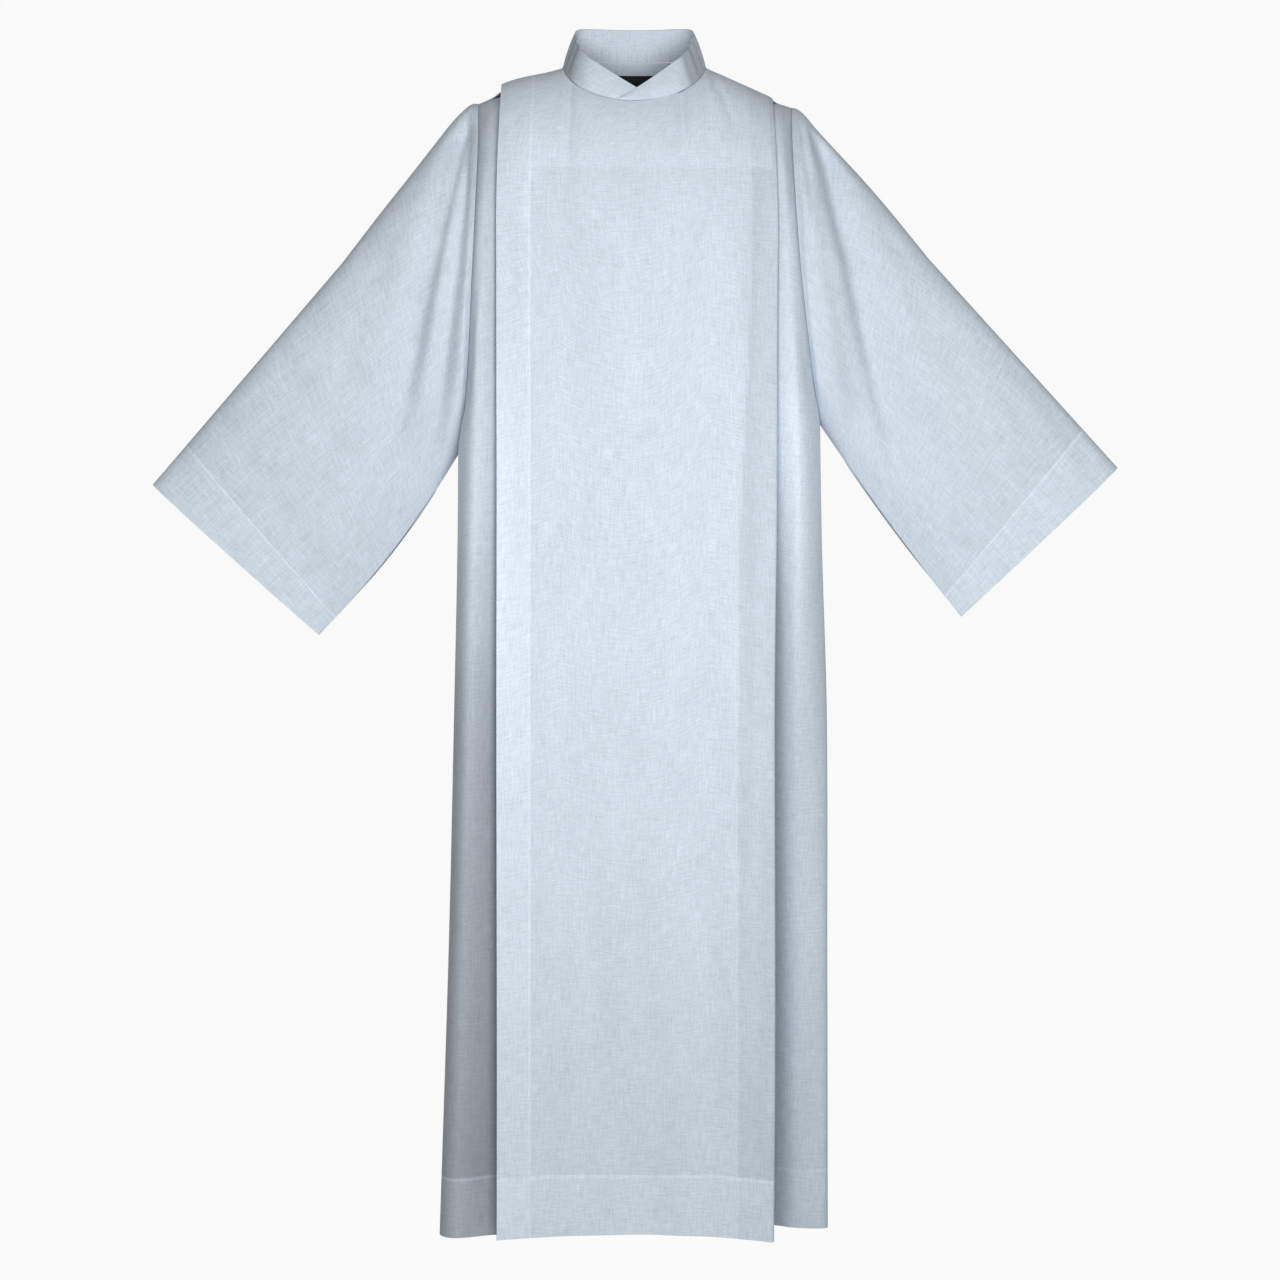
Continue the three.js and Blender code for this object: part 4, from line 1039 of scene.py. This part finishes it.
def sleeve_point(side, facing, share, along):
    hole, sleeve = ARMHOLES[side], SLEEVES[side]
    underarm = UNDERARM_SHARE * (hole["top"] - hole["underarm"]) / (hole["top"] - HEM_Z)
    start = end_point(side, facing, share * underarm) + [side * SEAM_GAP, 0, 0]
    (top_x, top_z), (low_x, low_z) = sleeve["top"], sleeve["low"]
    cuff_x = side * mix(top_x, low_x, share)
    half_depth = read(SLEEVE_HALF_DEPTH, "depth", along)
    draped = sleeve["middle_y"] * along + facing * sleeve_depth(share, half_depth)
    y = mix(start[..., 1], draped, smooth(along / SLEEVE_OPENS))
    settled = smooth((along - SLEEVE_PUFF["lasts"]) / SLEEVE_PUFF["length"])
    puffed = SLEEVE_PUFF["height"] * smooth(along / SLEEVE_PUFF["rises"]) * (1 - settled)
    y = y + facing * puffed * np.minimum(1, 6 * share * (1 - share))
    head = read(SLEEVE_HEAD, SIDE_NAMES[side], along) * (1 - share) ** 3
    sag = sleeve["sag"] * share**3 * np.sin(np.pi * along)
    x = mix(start[..., 0], cuff_x, along)
    x = x + side * (head * HEAD_DIRECTION["out"] - sag * SAG_DIRECTION["in"])
    z = mix(start[..., 2], mix(top_z, low_z, share), along)
    z = z + head * HEAD_DIRECTION["up"] - sag * SAG_DIRECTION["down"]
    held = smooth(share / SLEEVE_EDGES_KEEP["upper"]) * smooth((1 - share) / SLEEVE_EDGES_KEEP["lower"])
    held = held * smooth(along / SLEEVE_FOLDS_OPEN)
    rippled = SLEEVE_RIPPLES["strength"] * ripples(x + SLEEVE_RIPPLES["slant"] * z, z)
    push = (fold_pushes(SLEEVE_FOLDS[side], x, z) + rippled) * held
    middle = sleeve["middle_y"] * along * smooth(along / SLEEVE_OPENS)
    room = np.maximum(SLEEVE_LEAST_ROOM, np.abs(y - middle) - SLEEVE_LEAST_HALF_DEPTH)
    push = np.where(push > 0, room * np.tanh(push / room), push)
    return point(x, y - facing * push, z)


print("folds on the sleeves:", [len(SLEEVE_FOLDS[side]["x0"]) for side in (LEFT, RIGHT)])

# %% [markdown]
# Sleeve tubes.
# The front and the back of a sleeve are joined into one ring of cloth. Its stations are closer
# together at the gathered head. A pair lies just before and after the fold of the cuff's hem, and
# another pair marks the hem's row of stitches.

# %% Sleeve tubes
SHARE_COUNT = 58
HEAD_STATIONS = np.linspace(0, 0.06, 9)
STATIONS = np.linspace(0.06, 1, 100)
# Beside the armhole seam the sleeve's count drops, as painted shade in the seam's valley.
SLEEVE_LAYERS_AND_SEAM_SHADE = {"seam": 1.0, "plain": 1.8, "hem": 2.6, "seam_fade": 0.03}


def sleeve_tube(side):
    sleeve, hole = SLEEVES[side], ARMHOLES[side]
    reach = sleeve["top"][0] - ARMHOLE_X[SIDE_NAMES[side]][0]
    length = math.hypot(reach, sleeve["top"][1] - hole["top"])
    fold = 1 - CUFF_HEM_DEPTH / length
    step = HEM_STEP / length
    line = fold + STITCH_LINE / length
    extra = [fold - step, fold + step, line, line + step]
    stations = np.unique(np.concatenate([HEAD_STATIONS, STATIONS, extra]))[:, None]
    shares = (1 - np.cos(np.linspace(0, np.pi, SHARE_COUNT))) / 2
    front = sleeve_point(side, FRONT, shares[None, :], stations)
    behind = sleeve_point(side, BACK, shares[None, 1:-1], stations)[:, ::-1]
    edge_y = sleeve["middle_y"] * smooth(stations[:, 0] / SLEEVE_OPENS)
    front[:, 0, 1] = edge_y
    front[:, -1, 1] = edge_y
    grid = joined(front, behind)
    in_hem = stations >= fold
    middle = np.broadcast_to(grid.mean(axis=1, keepdims=True), grid.shape)

    def adjust(inner):
        inner[0, :, 0] = side * np.maximum(side * inner[0, :, 0], side * grid[0, :, 0])
        return inner

    seam, plain, hem, fade = SLEEVE_LAYERS_AND_SEAM_SHADE.values()
    layers_and_painted_light = np.where(in_hem, hem, mix(seam, plain, smooth(stations / fade)))
    layers_and_painted_light = layers_and_painted_light + LINE_DENSITY * (in_hem & (stations <= line + step / 2))
    cloth_shell(f"sleeve_{SIDE_NAMES[side]}", grid, np.where(in_hem, HEM_CLOTH, CLOTH), layers_and_painted_light,
                ring=True, inside=middle, adjust=adjust)


for side in (LEFT, RIGHT):
    sleeve_tube(side)

# %% [markdown]
# The collar.
# It is a band of doubled cloth, 39 mm high, that leans in towards the neck. Its two ends run down to
# points that cross at the front, the wearer's left one outside. The upper edge is a straight slant
# there, so the crossing makes a V. A slight bulge half way up keeps it from looking like cut card. Soft
# upright creases lie at its sides, where it bends round the neck, and its outer face has painted shade,
# a little all over and more at these sides.

# %% Collar
COLLAR = {
    "height": 39, "lean": 14, "wall": 2.0, "clear": 0.6, "slant_from": 60, "under_tip_past": 25,
    "over_tip_past": 17, "tip_height": 2.5, "cross": 2.8, "bulge": 1.2, "bulge_power": 0.8,
    "cross_from": 0.72, "cross_fade": 0.5, "columns": 150, "layers_and_painted_light": 3.0,
}
COLLAR_RISE = (1.0, 0.96, 0.9, 0.8, 0.68, 0.56, 0.44, 0.32, 0.2, 0.1, 0.04, 0.0)
# Painted shade on the collar's outer face: a little all over, and more at its sides.
COLLAR_SHADE = 0.11
COLLAR_SIDE_SHADES = ((-1.92, 0.34, 0.54), (1.98, 0.32, 0.46), (2.2, 0.06, 0.15))
COLLAR_CREASES = table(
    "turn width depth",
    (-1.72, 0.07, 2.6),
    (-1.92, 0.06, 2.4),
    (-2.2, 0.12, 0.8),
    (1.74, 0.07, 2.4),
    (1.96, 0.07, 2.8),
    (2.2, 0.08, 1.6),
    (0.6, 0.2, 1.2),
    (-0.5, 0.25, 1.0),
)


def neck_seam(turn):
    share = np.arcsin(np.clip(np.sin(turn), -1, 1)) / (math.pi / 2) * NECK_REACH
    behind = np.stack(column_top(share, BACK), axis=-1)
    before = np.stack(column_top(share, FRONT), axis=-1)
    return np.where(np.cos(turn)[..., None] >= 0, behind, before)


def turn_past(past):
    return math.pi + np.arcsin(past / NECK["half_width"])


def collar_grid(turns):
    seam = neck_seam(turns)
    side = np.where(turns < 0, RIGHT, LEFT)
    tip_past = np.where(side == LEFT, COLLAR["over_tip_past"], COLLAR["under_tip_past"])
    slant_turn = turn_past(-COLLAR["slant_from"])
    slant_top = neck_seam(np.array([slant_turn]))[0, 2] + COLLAR["height"]
    tip_z = neck_seam(turn_past(tip_past))[:, 2] + COLLAR["tip_height"]
    from_tip = (tip_past + side * seam[:, 0]) / (COLLAR["slant_from"] + tip_past)
    slanted = (np.abs(turns) > math.pi / 2) & (from_tip < 1)
    slant = np.maximum(COLLAR["tip_height"], mix(tip_z, slant_top, from_tip) - seam[:, 2])
    height = np.where(slanted, slant, COLLAR["height"])
    depth = np.where(np.cos(turns) > 0, NECK["back"], NECK["front"])
    outward = unit(point(np.sin(turns) / NECK["half_width"], np.cos(turns) / depth, 0.0))
    near_front = smooth((np.abs(turns) - math.pi * COLLAR["cross_from"]) / COLLAR["cross_fade"])
    base = seam + outward * (side * COLLAR["cross"] / 2 * near_front)[:, None]
    base[:, 2] += COLLAR["clear"]
    rise = np.array(COLLAR_RISE)[:, None]
    bulge = COLLAR["bulge"] * np.sin(np.pi * rise) ** COLLAR["bulge_power"]
    out = bulge - COLLAR["lean"] / COLLAR["height"] * height * rise
    for turn, width, depth in zip(*COLLAR_CREASES.values()):
        out = out - depth * bell(turns - turn, width) * smooth(rise * 3)
    grid = base[None] + outward[None] * out[..., None]
    grid[..., 2] += height * rise
    return grid


over_end, under_end = (turn_past(COLLAR[tip]) for tip in ("over_tip_past", "under_tip_past"))
collar_turns = np.linspace(over_end, -under_end, COLLAR["columns"])
collar_places = collar_grid(collar_turns)
collar_painted_shade = COLLAR_SHADE + sum(
    share * bell(collar_turns - turn, width) for turn, width, share in COLLAR_SIDE_SHADES
)
cloth_shell("collar", collar_places, COLLAR["wall"], COLLAR["layers_and_painted_light"], shaded=False,
            inside=collar_places * np.array([0, 0, 1]), outer_painted_shade=collar_painted_shade)

# %% [markdown]
# Stitching.
# The hems and the facing are held by rows of small stitches. Each stitch is a short bead of
# thread with tapered ends that lies on the cloth, and the rows follow the grid's own lines, so
# they run over every fold. They could be painted into the finish, but then they would have no
# shadow of their own and would be missing from the mesh.

# %% Rows of stitches
STITCH = {"pitch": 3.4, "length": 2.3, "width": 0.42, "height": 0.22, "sink": 0.05}
BEAD_FACES = np.array([[0, 1, 4], [1, 2, 4], [2, 3, 4], [3, 0, 4], [0, 3, 1], [1, 3, 2]])
FIRST_BAND_ROW = 4


def stitch_row(name, node, places):
    made = cloth_pieces[node]
    line, outward = made["grid"][places], made["outward"][places]
    if made["ring"]:
        line, outward = (np.concatenate([values, values[:1]]) for values in (line, outward))
    run = np.concatenate([[0], np.cumsum(np.linalg.norm(np.diff(line, axis=0), axis=1))])
    starts = np.arange(STITCH["pitch"] / 2, run[-1] - STITCH["pitch"], STITCH["pitch"])

    def at(share, values):
        distance = starts + share * STITCH["length"]
        return np.stack([np.interp(distance, run, values[:, k]) for k in range(3)], axis=-1)

    start, end, up = at(0, line), at(1, line), unit(at(0.5, outward))
    beside = np.cross(up, unit(end - start)) * STITCH["width"] / 2
    low, middle = -up * STITCH["sink"], (start + end) / 2
    top = middle + up * STITCH["height"]
    bead = [start + low, middle + beside + low, end + low, middle - beside + low, top]
    vertices = np.stack(bead, axis=1).reshape(-1, 3) * METRES
    faces = BEAD_FACES[None] + len(bead) * np.arange(len(starts))[:, None, None]
    print(f"{name}: {len(starts)} stitches along {run[-1]:.0f} mm")
    return put_in_scene(name, mesh_of(name, vertices, faces.reshape(-1, 3)))


hem_index = int(np.argmin(np.abs(rows[:, 0] - HEM_FOLD_ROW))) - 1
band_index = int(np.argmin(np.abs(wrap_x[0] - band_line)))
band_places = (slice(FIRST_BAND_ROW, None), band_index)
stitching = {
    "front_wrap": [
        stitch_row("wrap_hem_stitches", "front_wrap", hem_index),
        stitch_row("wrap_band_stitches", "front_wrap", band_places),
    ],
    "front_under": [stitch_row("under_hem_stitches", "front_under", hem_index)],
    "back": [stitch_row("back_hem_stitches", "back", hem_index)],
}
for side in (LEFT, RIGHT):
    node = f"sleeve_{SIDE_NAMES[side]}"
    middle_line = cloth_pieces[node]["grid"][:, SHARE_COUNT // 2]
    from_cuff = np.linalg.norm(middle_line - middle_line[-1], axis=1)
    cuff_index = int(np.argmin(np.abs(from_cuff - CUFF_HEM_DEPTH - HEM_STEP)))
    stitching[node] = [stitch_row(f"cuff_{SIDE_NAMES[side]}_stitches", node, cuff_index)]

# %% [markdown]
# The weave.
# The cloth is a plain weave with a linen look: fine threads both ways, some of them thicker for
# part of their length. Every piece uses it, so it is a node group. It reads the thread map, whose
# two directions run along the weft and the warp in metres, and it gives a height for the bump
# and a mask for the thicker threads.

# %% Weave as a node group
THREADS_PER_METRE = 1500
WARP_SLUBS, WEFT_SLUBS, SPECKS = (430, 45), (55, 430), (520, 520)
THREAD_RELIEF = 0.35


def put(tree, socket, value):
    if isinstance(value, bpy.types.NodeSocket):
        tree.links.new(value, socket)
    else:
        socket.default_value = value


def add_node(tree, kind, *values, **settings):
    node = tree.nodes.new(f"ShaderNode{kind}")
    for name, value in settings.items():
        if name in node.inputs:
            put(tree, node.inputs[name], value)
        else:
            setattr(node, name, value)
    for socket, value in zip(node.inputs, values):
        put(tree, socket, value)
    return node


def math_node(tree, operation, a, b=0.0):
    return add_node(tree, "Math", a, b, operation=operation).outputs[0]


def stretched(tree, vector, across, down):
    return add_node(tree, "VectorMath", vector, (across, down, 1), operation="MULTIPLY").outputs[0]


def noise(tree, vector, detail=2.0):
    return add_node(tree, "TexNoise", Vector=vector, Scale=1.0, Detail=detail).outputs["Fac"]


def new_group(name, *sockets):
    group = bpy.data.node_groups.new(name, "ShaderNodeTree")
    for label, way, kind, value in sockets:
        kind = f"NodeSocket{kind}"
        socket = group.interface.new_socket(name=label, in_out=way, socket_type=kind)
        if value is not None:
            socket.default_value = value
    source, sink = group.nodes.new("NodeGroupInput"), group.nodes.new("NodeGroupOutput")
    return group, source.outputs, sink.inputs


def make_weave():
    group, given, made = new_group(
        "linen weave",
        ("Vector", "INPUT", "Vector", None),
        ("Threads", "INPUT", "Float", THREADS_PER_METRE),
        ("Slubs", "OUTPUT", "Float", None),
        ("Height", "OUTPUT", "Float", None),
    )
    vector = given["Vector"]
    apart = add_node(group, "SeparateXYZ", vector)
    threads = []
    for axis in (0, 1):
        turn = math_node(group, "MULTIPLY", apart.outputs[axis], given["Threads"])
        wave = math_node(group, "SINE", math_node(group, "MULTIPLY", turn, math.pi))
        threads.append(math_node(group, "ABSOLUTE", wave))
    warp_slubs = noise(group, stretched(group, vector, *WARP_SLUBS), 3.0)
    weft_slubs = noise(group, stretched(group, vector, *WEFT_SLUBS), 3.0)
    specks = noise(group, stretched(group, vector, *SPECKS))
    slubs = math_node(group, "ADD", warp_slubs, weft_slubs)
    slubs = math_node(group, "MULTIPLY", math_node(group, "ADD", slubs, specks), 1 / 3)
    fine = math_node(group, "MULTIPLY", math_node(group, "MULTIPLY", *threads), THREAD_RELIEF)
    put(group, made["Slubs"], slubs)
    put(group, made["Height"], math_node(group, "ADD", slubs, fine))
    return group


weave_group = make_weave()
print("weave group sockets:", [item.name for item in weave_group.interface.items_tree])

# %% [markdown]
# How dense the cloth looks, and its painted light and shade.
# The cloth is slightly sheer. Where one layer lies over the dark hollow it is painted greyer, partly
# for the sheer cloth and partly as painted shade of the unlit hollow, and each further layer under it
# makes it lighter, up to the opaque collar. The inner face and the grooves get little light in a closed
# garment, so they are darkened with painted shade, as are the collar's sides. Both follow from the
# marks on the mesh, so they stay on the cloth from every side. Wide faint patches keep large fields
# from looking printed. This is a second node group.

# %% Density and painted shade as a node group
# The lowest stop, one layer over the unlit hollow, is partly sheerness and partly painted shade; its
# tint is the colour of that shade.
LAYER_AND_SHADE_STOPS = ((0.0, 0.50), (1.0, 0.83), (2.0, 0.935), (3.0, 1.0), (4.0, 1.07))
PAINTED_SHADE_TINT = (1.01, 0.985, 0.99)
# How much light the strongest painted shade of the inside mark leaves.
INSIDE_SHADE = 0.06
SLUB_CONTRAST = 1.0
PATCH_CONTRAST = 0.14
PATCHES = (26, 9)


def around_one(tree, value, contrast):
    return math_node(tree, "ADD", math_node(tree, "MULTIPLY", value, contrast), 1 - contrast / 2)


def make_density_and_shade():
    group, given, made = new_group(
        "cloth density and painted shade",
        ("Cloth", "INPUT", "Color", (0.7, 0.77, 0.82, 1)),
        ("Slubs", "INPUT", "Float", 0.5),
        ("Mottle", "INPUT", "Vector", None),
        ("Colour", "OUTPUT", "Color", None),
    )
    layers_and_painted_light, inside = (
        add_node(group, "Attribute", attribute_name=name).outputs["Fac"]
        for name in ("layers_and_painted_light", "inside")
    )
    last = LAYER_AND_SHADE_STOPS[-1][0]
    ramp = add_node(group, "ValToRGB", math_node(group, "DIVIDE", layers_and_painted_light, last))
    stops = ramp.color_ramp.elements
    for i, (count, value) in enumerate(LAYER_AND_SHADE_STOPS):
        stop = stops[i] if i < 2 else stops.new(count / last)
        stop.position = count / last
        tint = PAINTED_SHADE_TINT if count == 0 else (1, 1, 1)
        stop.color = (*(value * part for part in tint), 1)
    patches = noise(group, stretched(group, given["Mottle"], *PATCHES), 4.0)
    tone = math_node(group, "MULTIPLY", around_one(group, given["Slubs"], SLUB_CONTRAST),
                     around_one(group, patches, PATCH_CONTRAST))
    shade = math_node(group, "MULTIPLY", inside, 1 - INSIDE_SHADE)
    tone = math_node(group, "MULTIPLY", tone, math_node(group, "SUBTRACT", 1.0, shade))
    tinted = add_node(group, "VectorMath", given["Cloth"], ramp.outputs[0], operation="MULTIPLY")
    shaded = add_node(group, "VectorMath", tinted.outputs[0], operation="SCALE", Scale=tone)
    put(group, made["Colour"], shaded.outputs[0])
    return group


density_and_shade_group = make_density_and_shade()
print("tone of one, two and three layers:", [value for _, value in LAYER_AND_SHADE_STOPS[1:4]])

# %% [markdown]
# The cloth's finish.
# Each piece has its own material, so that it can be changed alone, but all share the two groups.
# The cloth is matt with a faint soft sheen at grazing angles, as linen and its blends have. The
# thread of the stitches is a shade lighter and a little glossier.

# %% Materials
CLOTH_COLOUR = (0.695, 0.785, 0.865)
THREAD_COLOUR = (0.74, 0.80, 0.84)
THREAD_SHADE = 0.86
THREAD_TWIST = (900, 900)
CLOTH_FINISH = {
    "Roughness": 0.9, "Sheen Weight": 0.12, "Sheen Roughness": 0.5, "Specular IOR Level": 0.25,
}
RELIEF = {"Strength": 0.4, "Distance": 0.0004}
# The collar's and the neck tape's raised tones are painted light for their inner faces; on the collar's
# outer face its painted shade takes most of it back. The under front is a little darker.
PIECE_TONES_AND_PAINTED_LIGHT = {
    "front_wrap": 1.0, "front_under": 0.93, "back": 1.0, "sleeve_left": 1.0, "sleeve_right": 1.0,
    "collar": 1.12, "wrap_facing": 1.0, "yoke_facing": 1.0, "neck_tape": 1.3,
}


def new_material(name, finish):
    material = bpy.data.materials.new(name)
    material.use_nodes = True
    shader = material.node_tree.nodes["Principled BSDF"]
    for label, value in finish.items():
        shader.inputs[label].default_value = value
    return material, material.node_tree, shader.inputs


def cloth_material(name, colour):
    material, tree, shader = new_material(name, CLOTH_FINISH)
    threads = add_node(tree, "UVMap", uv_map="threads").outputs[0]
    weave = add_node(tree, "Group", node_tree=weave_group)
    put(tree, weave.inputs["Vector"], threads)
    put(tree, weave.inputs["Threads"], THREADS_PER_METRE)
    density_and_shade = add_node(tree, "Group", node_tree=density_and_shade_group)
    put(tree, density_and_shade.inputs["Cloth"], (*colour, 1))
    put(tree, density_and_shade.inputs["Mottle"], threads)
    put(tree, density_and_shade.inputs["Slubs"], weave.outputs["Slubs"])
    relief = add_node(tree, "Bump", Height=weave.outputs["Height"], **RELIEF)
    put(tree, shader["Normal"], relief.outputs[0])
    put(tree, shader["Base Color"], density_and_shade.outputs["Colour"])
    return material


def thread_material():
    material, tree, shader = new_material("stitch thread", {"Roughness": 0.65})
    place = add_node(tree, "TexCoord").outputs["Object"]
    tone = add_node(tree, "Mix", data_type="RGBA")
    put(tree, tone.inputs["Factor"], noise(tree, stretched(tree, place, *THREAD_TWIST)))
    put(tree, tone.inputs["A"], (*(THREAD_SHADE * part for part in THREAD_COLOUR), 1))
    put(tree, tone.inputs["B"], (*THREAD_COLOUR, 1))
    put(tree, shader["Base Color"], tone.outputs["Result"])
    return material


thread = thread_material()
for node, tone in PIECE_TONES_AND_PAINTED_LIGHT.items():
    piece = cloth_pieces[node]["piece"]
    colour = (tone * part for part in CLOTH_COLOUR)
    piece.data.materials.append(cloth_material(f"{node} linen", colour))
    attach(piece, "root")
    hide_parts(node)
    for stitches in stitching.get(node, []):
        stitches.data.materials.append(thread)
        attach(stitches, "root")
print("finishes:", len(PIECE_TONES_AND_PAINTED_LIGHT) + 1)

# %% [markdown]
# How large each piece was cut.
# A sheet's flat size is the cloth as it lay on the cutting table. The grids give it: the longest
# row is the width, the longest column the length, and the area is smaller where the neck,
# armholes and slanted seams are cut away.

# %% Flat sizes
FLAT_SIZES = {
    "front_wrap": (0.63, 1.49, 0.81, ["back", "collar"]),
    "front_under": (0.56, 1.48, 0.725, ["back", "collar"]),
    "back": (0.685, 1.495, 0.875, ["collar"]),
    "sleeve_left": (0.89, 0.61, 0.28, ["front_wrap", "back"]),
    "sleeve_right": (0.96, 0.63, 0.302, ["front_under", "back"]),
    "collar": (0.592, 0.043, 0.0198, ["back"]),
    "wrap_facing": (0.046, 1.48, 0.0614, ["front_wrap"]),
    "yoke_facing": (0.378, 0.178, 0.0338, ["front_wrap"]),
    "neck_tape": (0.181, 0.017, 0.0026, ["back"]),
}
for node, (width, length, area, carried_by) in FLAT_SIZES.items():
    made = cloth_pieces[node]
    widest = lengths_along(made["grid"], 1)[:, -1].max() * METRES
    longest = lengths_along(made["grid"], 0)[-1].max() * METRES
    measured = area_of(made["grid"], made["ring"]) * METRES**2
    print(f"{node}: widest row {widest:.3f}, longest column {longest:.3f}, area {measured:.4f}, "
          f"declared {width} x {length}, {area}")

# %% [markdown]
# The studio.
# The robe hangs in front of a pale, even sweep of floor and backdrop. A soft light stands close in
# front, level with its upper half and a little to one side, another behind it, and an even pale
# surround fills the shadows. The lower part of the robe is further from the lights, so it is a
# little darker, as in the photograph. The sweep glows evenly, so that the picture's edges stay
# pale, but it throws no light of its own on the cloth.

# %% Floor and backdrop
FLOOR_Z = -1.62
SWEEP = {"front": -7.0, "bend": 7.0, "radius": 1.6, "half_width": 9.0, "top": 6.0}
SWEEP_FINISH = {
    "Base Color": (0.02, 0.02, 0.02, 1), "Specular IOR Level": 0, "Roughness": 1,
    "Emission Color": (1, 1, 1, 1), "Emission Strength": 0.94,
}


def make_sweep():
    turn = np.linspace(0, np.pi / 2, 13)
    bend_end = SWEEP["bend"] + SWEEP["radius"]
    y = [SWEEP["front"], *(SWEEP["bend"] + SWEEP["radius"] * np.sin(turn)), bend_end]
    z = [0, *(SWEEP["radius"] * (1 - np.cos(turn))), SWEEP["top"]]
    x = np.array([-SWEEP["half_width"], SWEEP["half_width"]])
    places = point(x[None, :], np.array(y)[:, None], np.array(z)[:, None] + FLOOR_Z)
    quads = [[2 * i, 2 * i + 1, 2 * i + 3, 2 * i + 2] for i in range(len(y) - 1)]
    mesh = mesh_of("floor_sweep", places.reshape(-1, 3), np.array(quads))
    mesh.materials.append(new_material("pale floor", SWEEP_FINISH)[0])
    floor = put_in_scene("floor_sweep", mesh)
    floor.visible_diffuse = False


make_sweep()
print("floor", round((HEM_Z * METRES - FLOOR_Z) * 1000), "mm below the hem")

# %% Lights
LIGHTS = {
    "front": {"at": (0.10, -1.72, -0.48), "aim": (0.02, 0, -0.6), "size": 0.8, "power": 21},
    "behind": {"at": (-0.10, 1.72, -0.46), "aim": (0, 0, -0.6), "size": 0.8, "power": 20},
}


def aim(thing, target):
    toward = np.array(target) - np.array(thing.location)
    level = math.hypot(toward[0], toward[1])
    thing.rotation_euler = (math.atan2(level, -toward[2]), 0, math.atan2(-toward[0], toward[1]))


for name, light in LIGHTS.items():
    data = bpy.data.lights.new(name, "AREA")
    data.shape, data.size, data.energy = "DISK", light["size"], light["power"]
    lamp = put_in_scene(name, data)
    lamp.location = light["at"]
    lamp.visible_camera = False
    aim(lamp, light["aim"])


SURROUND = {"Color": (1, 1, 1, 1), "Strength": 0.3}
world = bpy.data.worlds.new("studio")
world.use_nodes = True
for label, value in SURROUND.items():
    world.node_tree.nodes["Background"].inputs[label].default_value = value
bpy.context.scene.world = world
print("lights:", list(LIGHTS), "and a surround of", SURROUND["Strength"])

# %% [markdown]
# The camera.
# It looks level at the middle of the robe's height, from far enough away to draw it as flat as
# the photograph does.

# %% Camera
CAMERA_AT = (0.007, -4.2, -0.715)
IMAGE_PIXELS, FOCAL_PIXELS, SENSOR = 1280, 3360, 36
camera_data = bpy.data.cameras.new("camera")
camera_data.sensor_width = SENSOR
camera_data.lens = SENSOR * FOCAL_PIXELS / IMAGE_PIXELS
camera = put_in_scene("camera", camera_data)
camera.location = CAMERA_AT
camera.rotation_euler = (math.pi / 2, 0, 0)
bpy.context.scene.camera = camera
bpy.context.scene.view_settings.view_transform = "Standard"
print("lens", camera_data.lens, "mm")
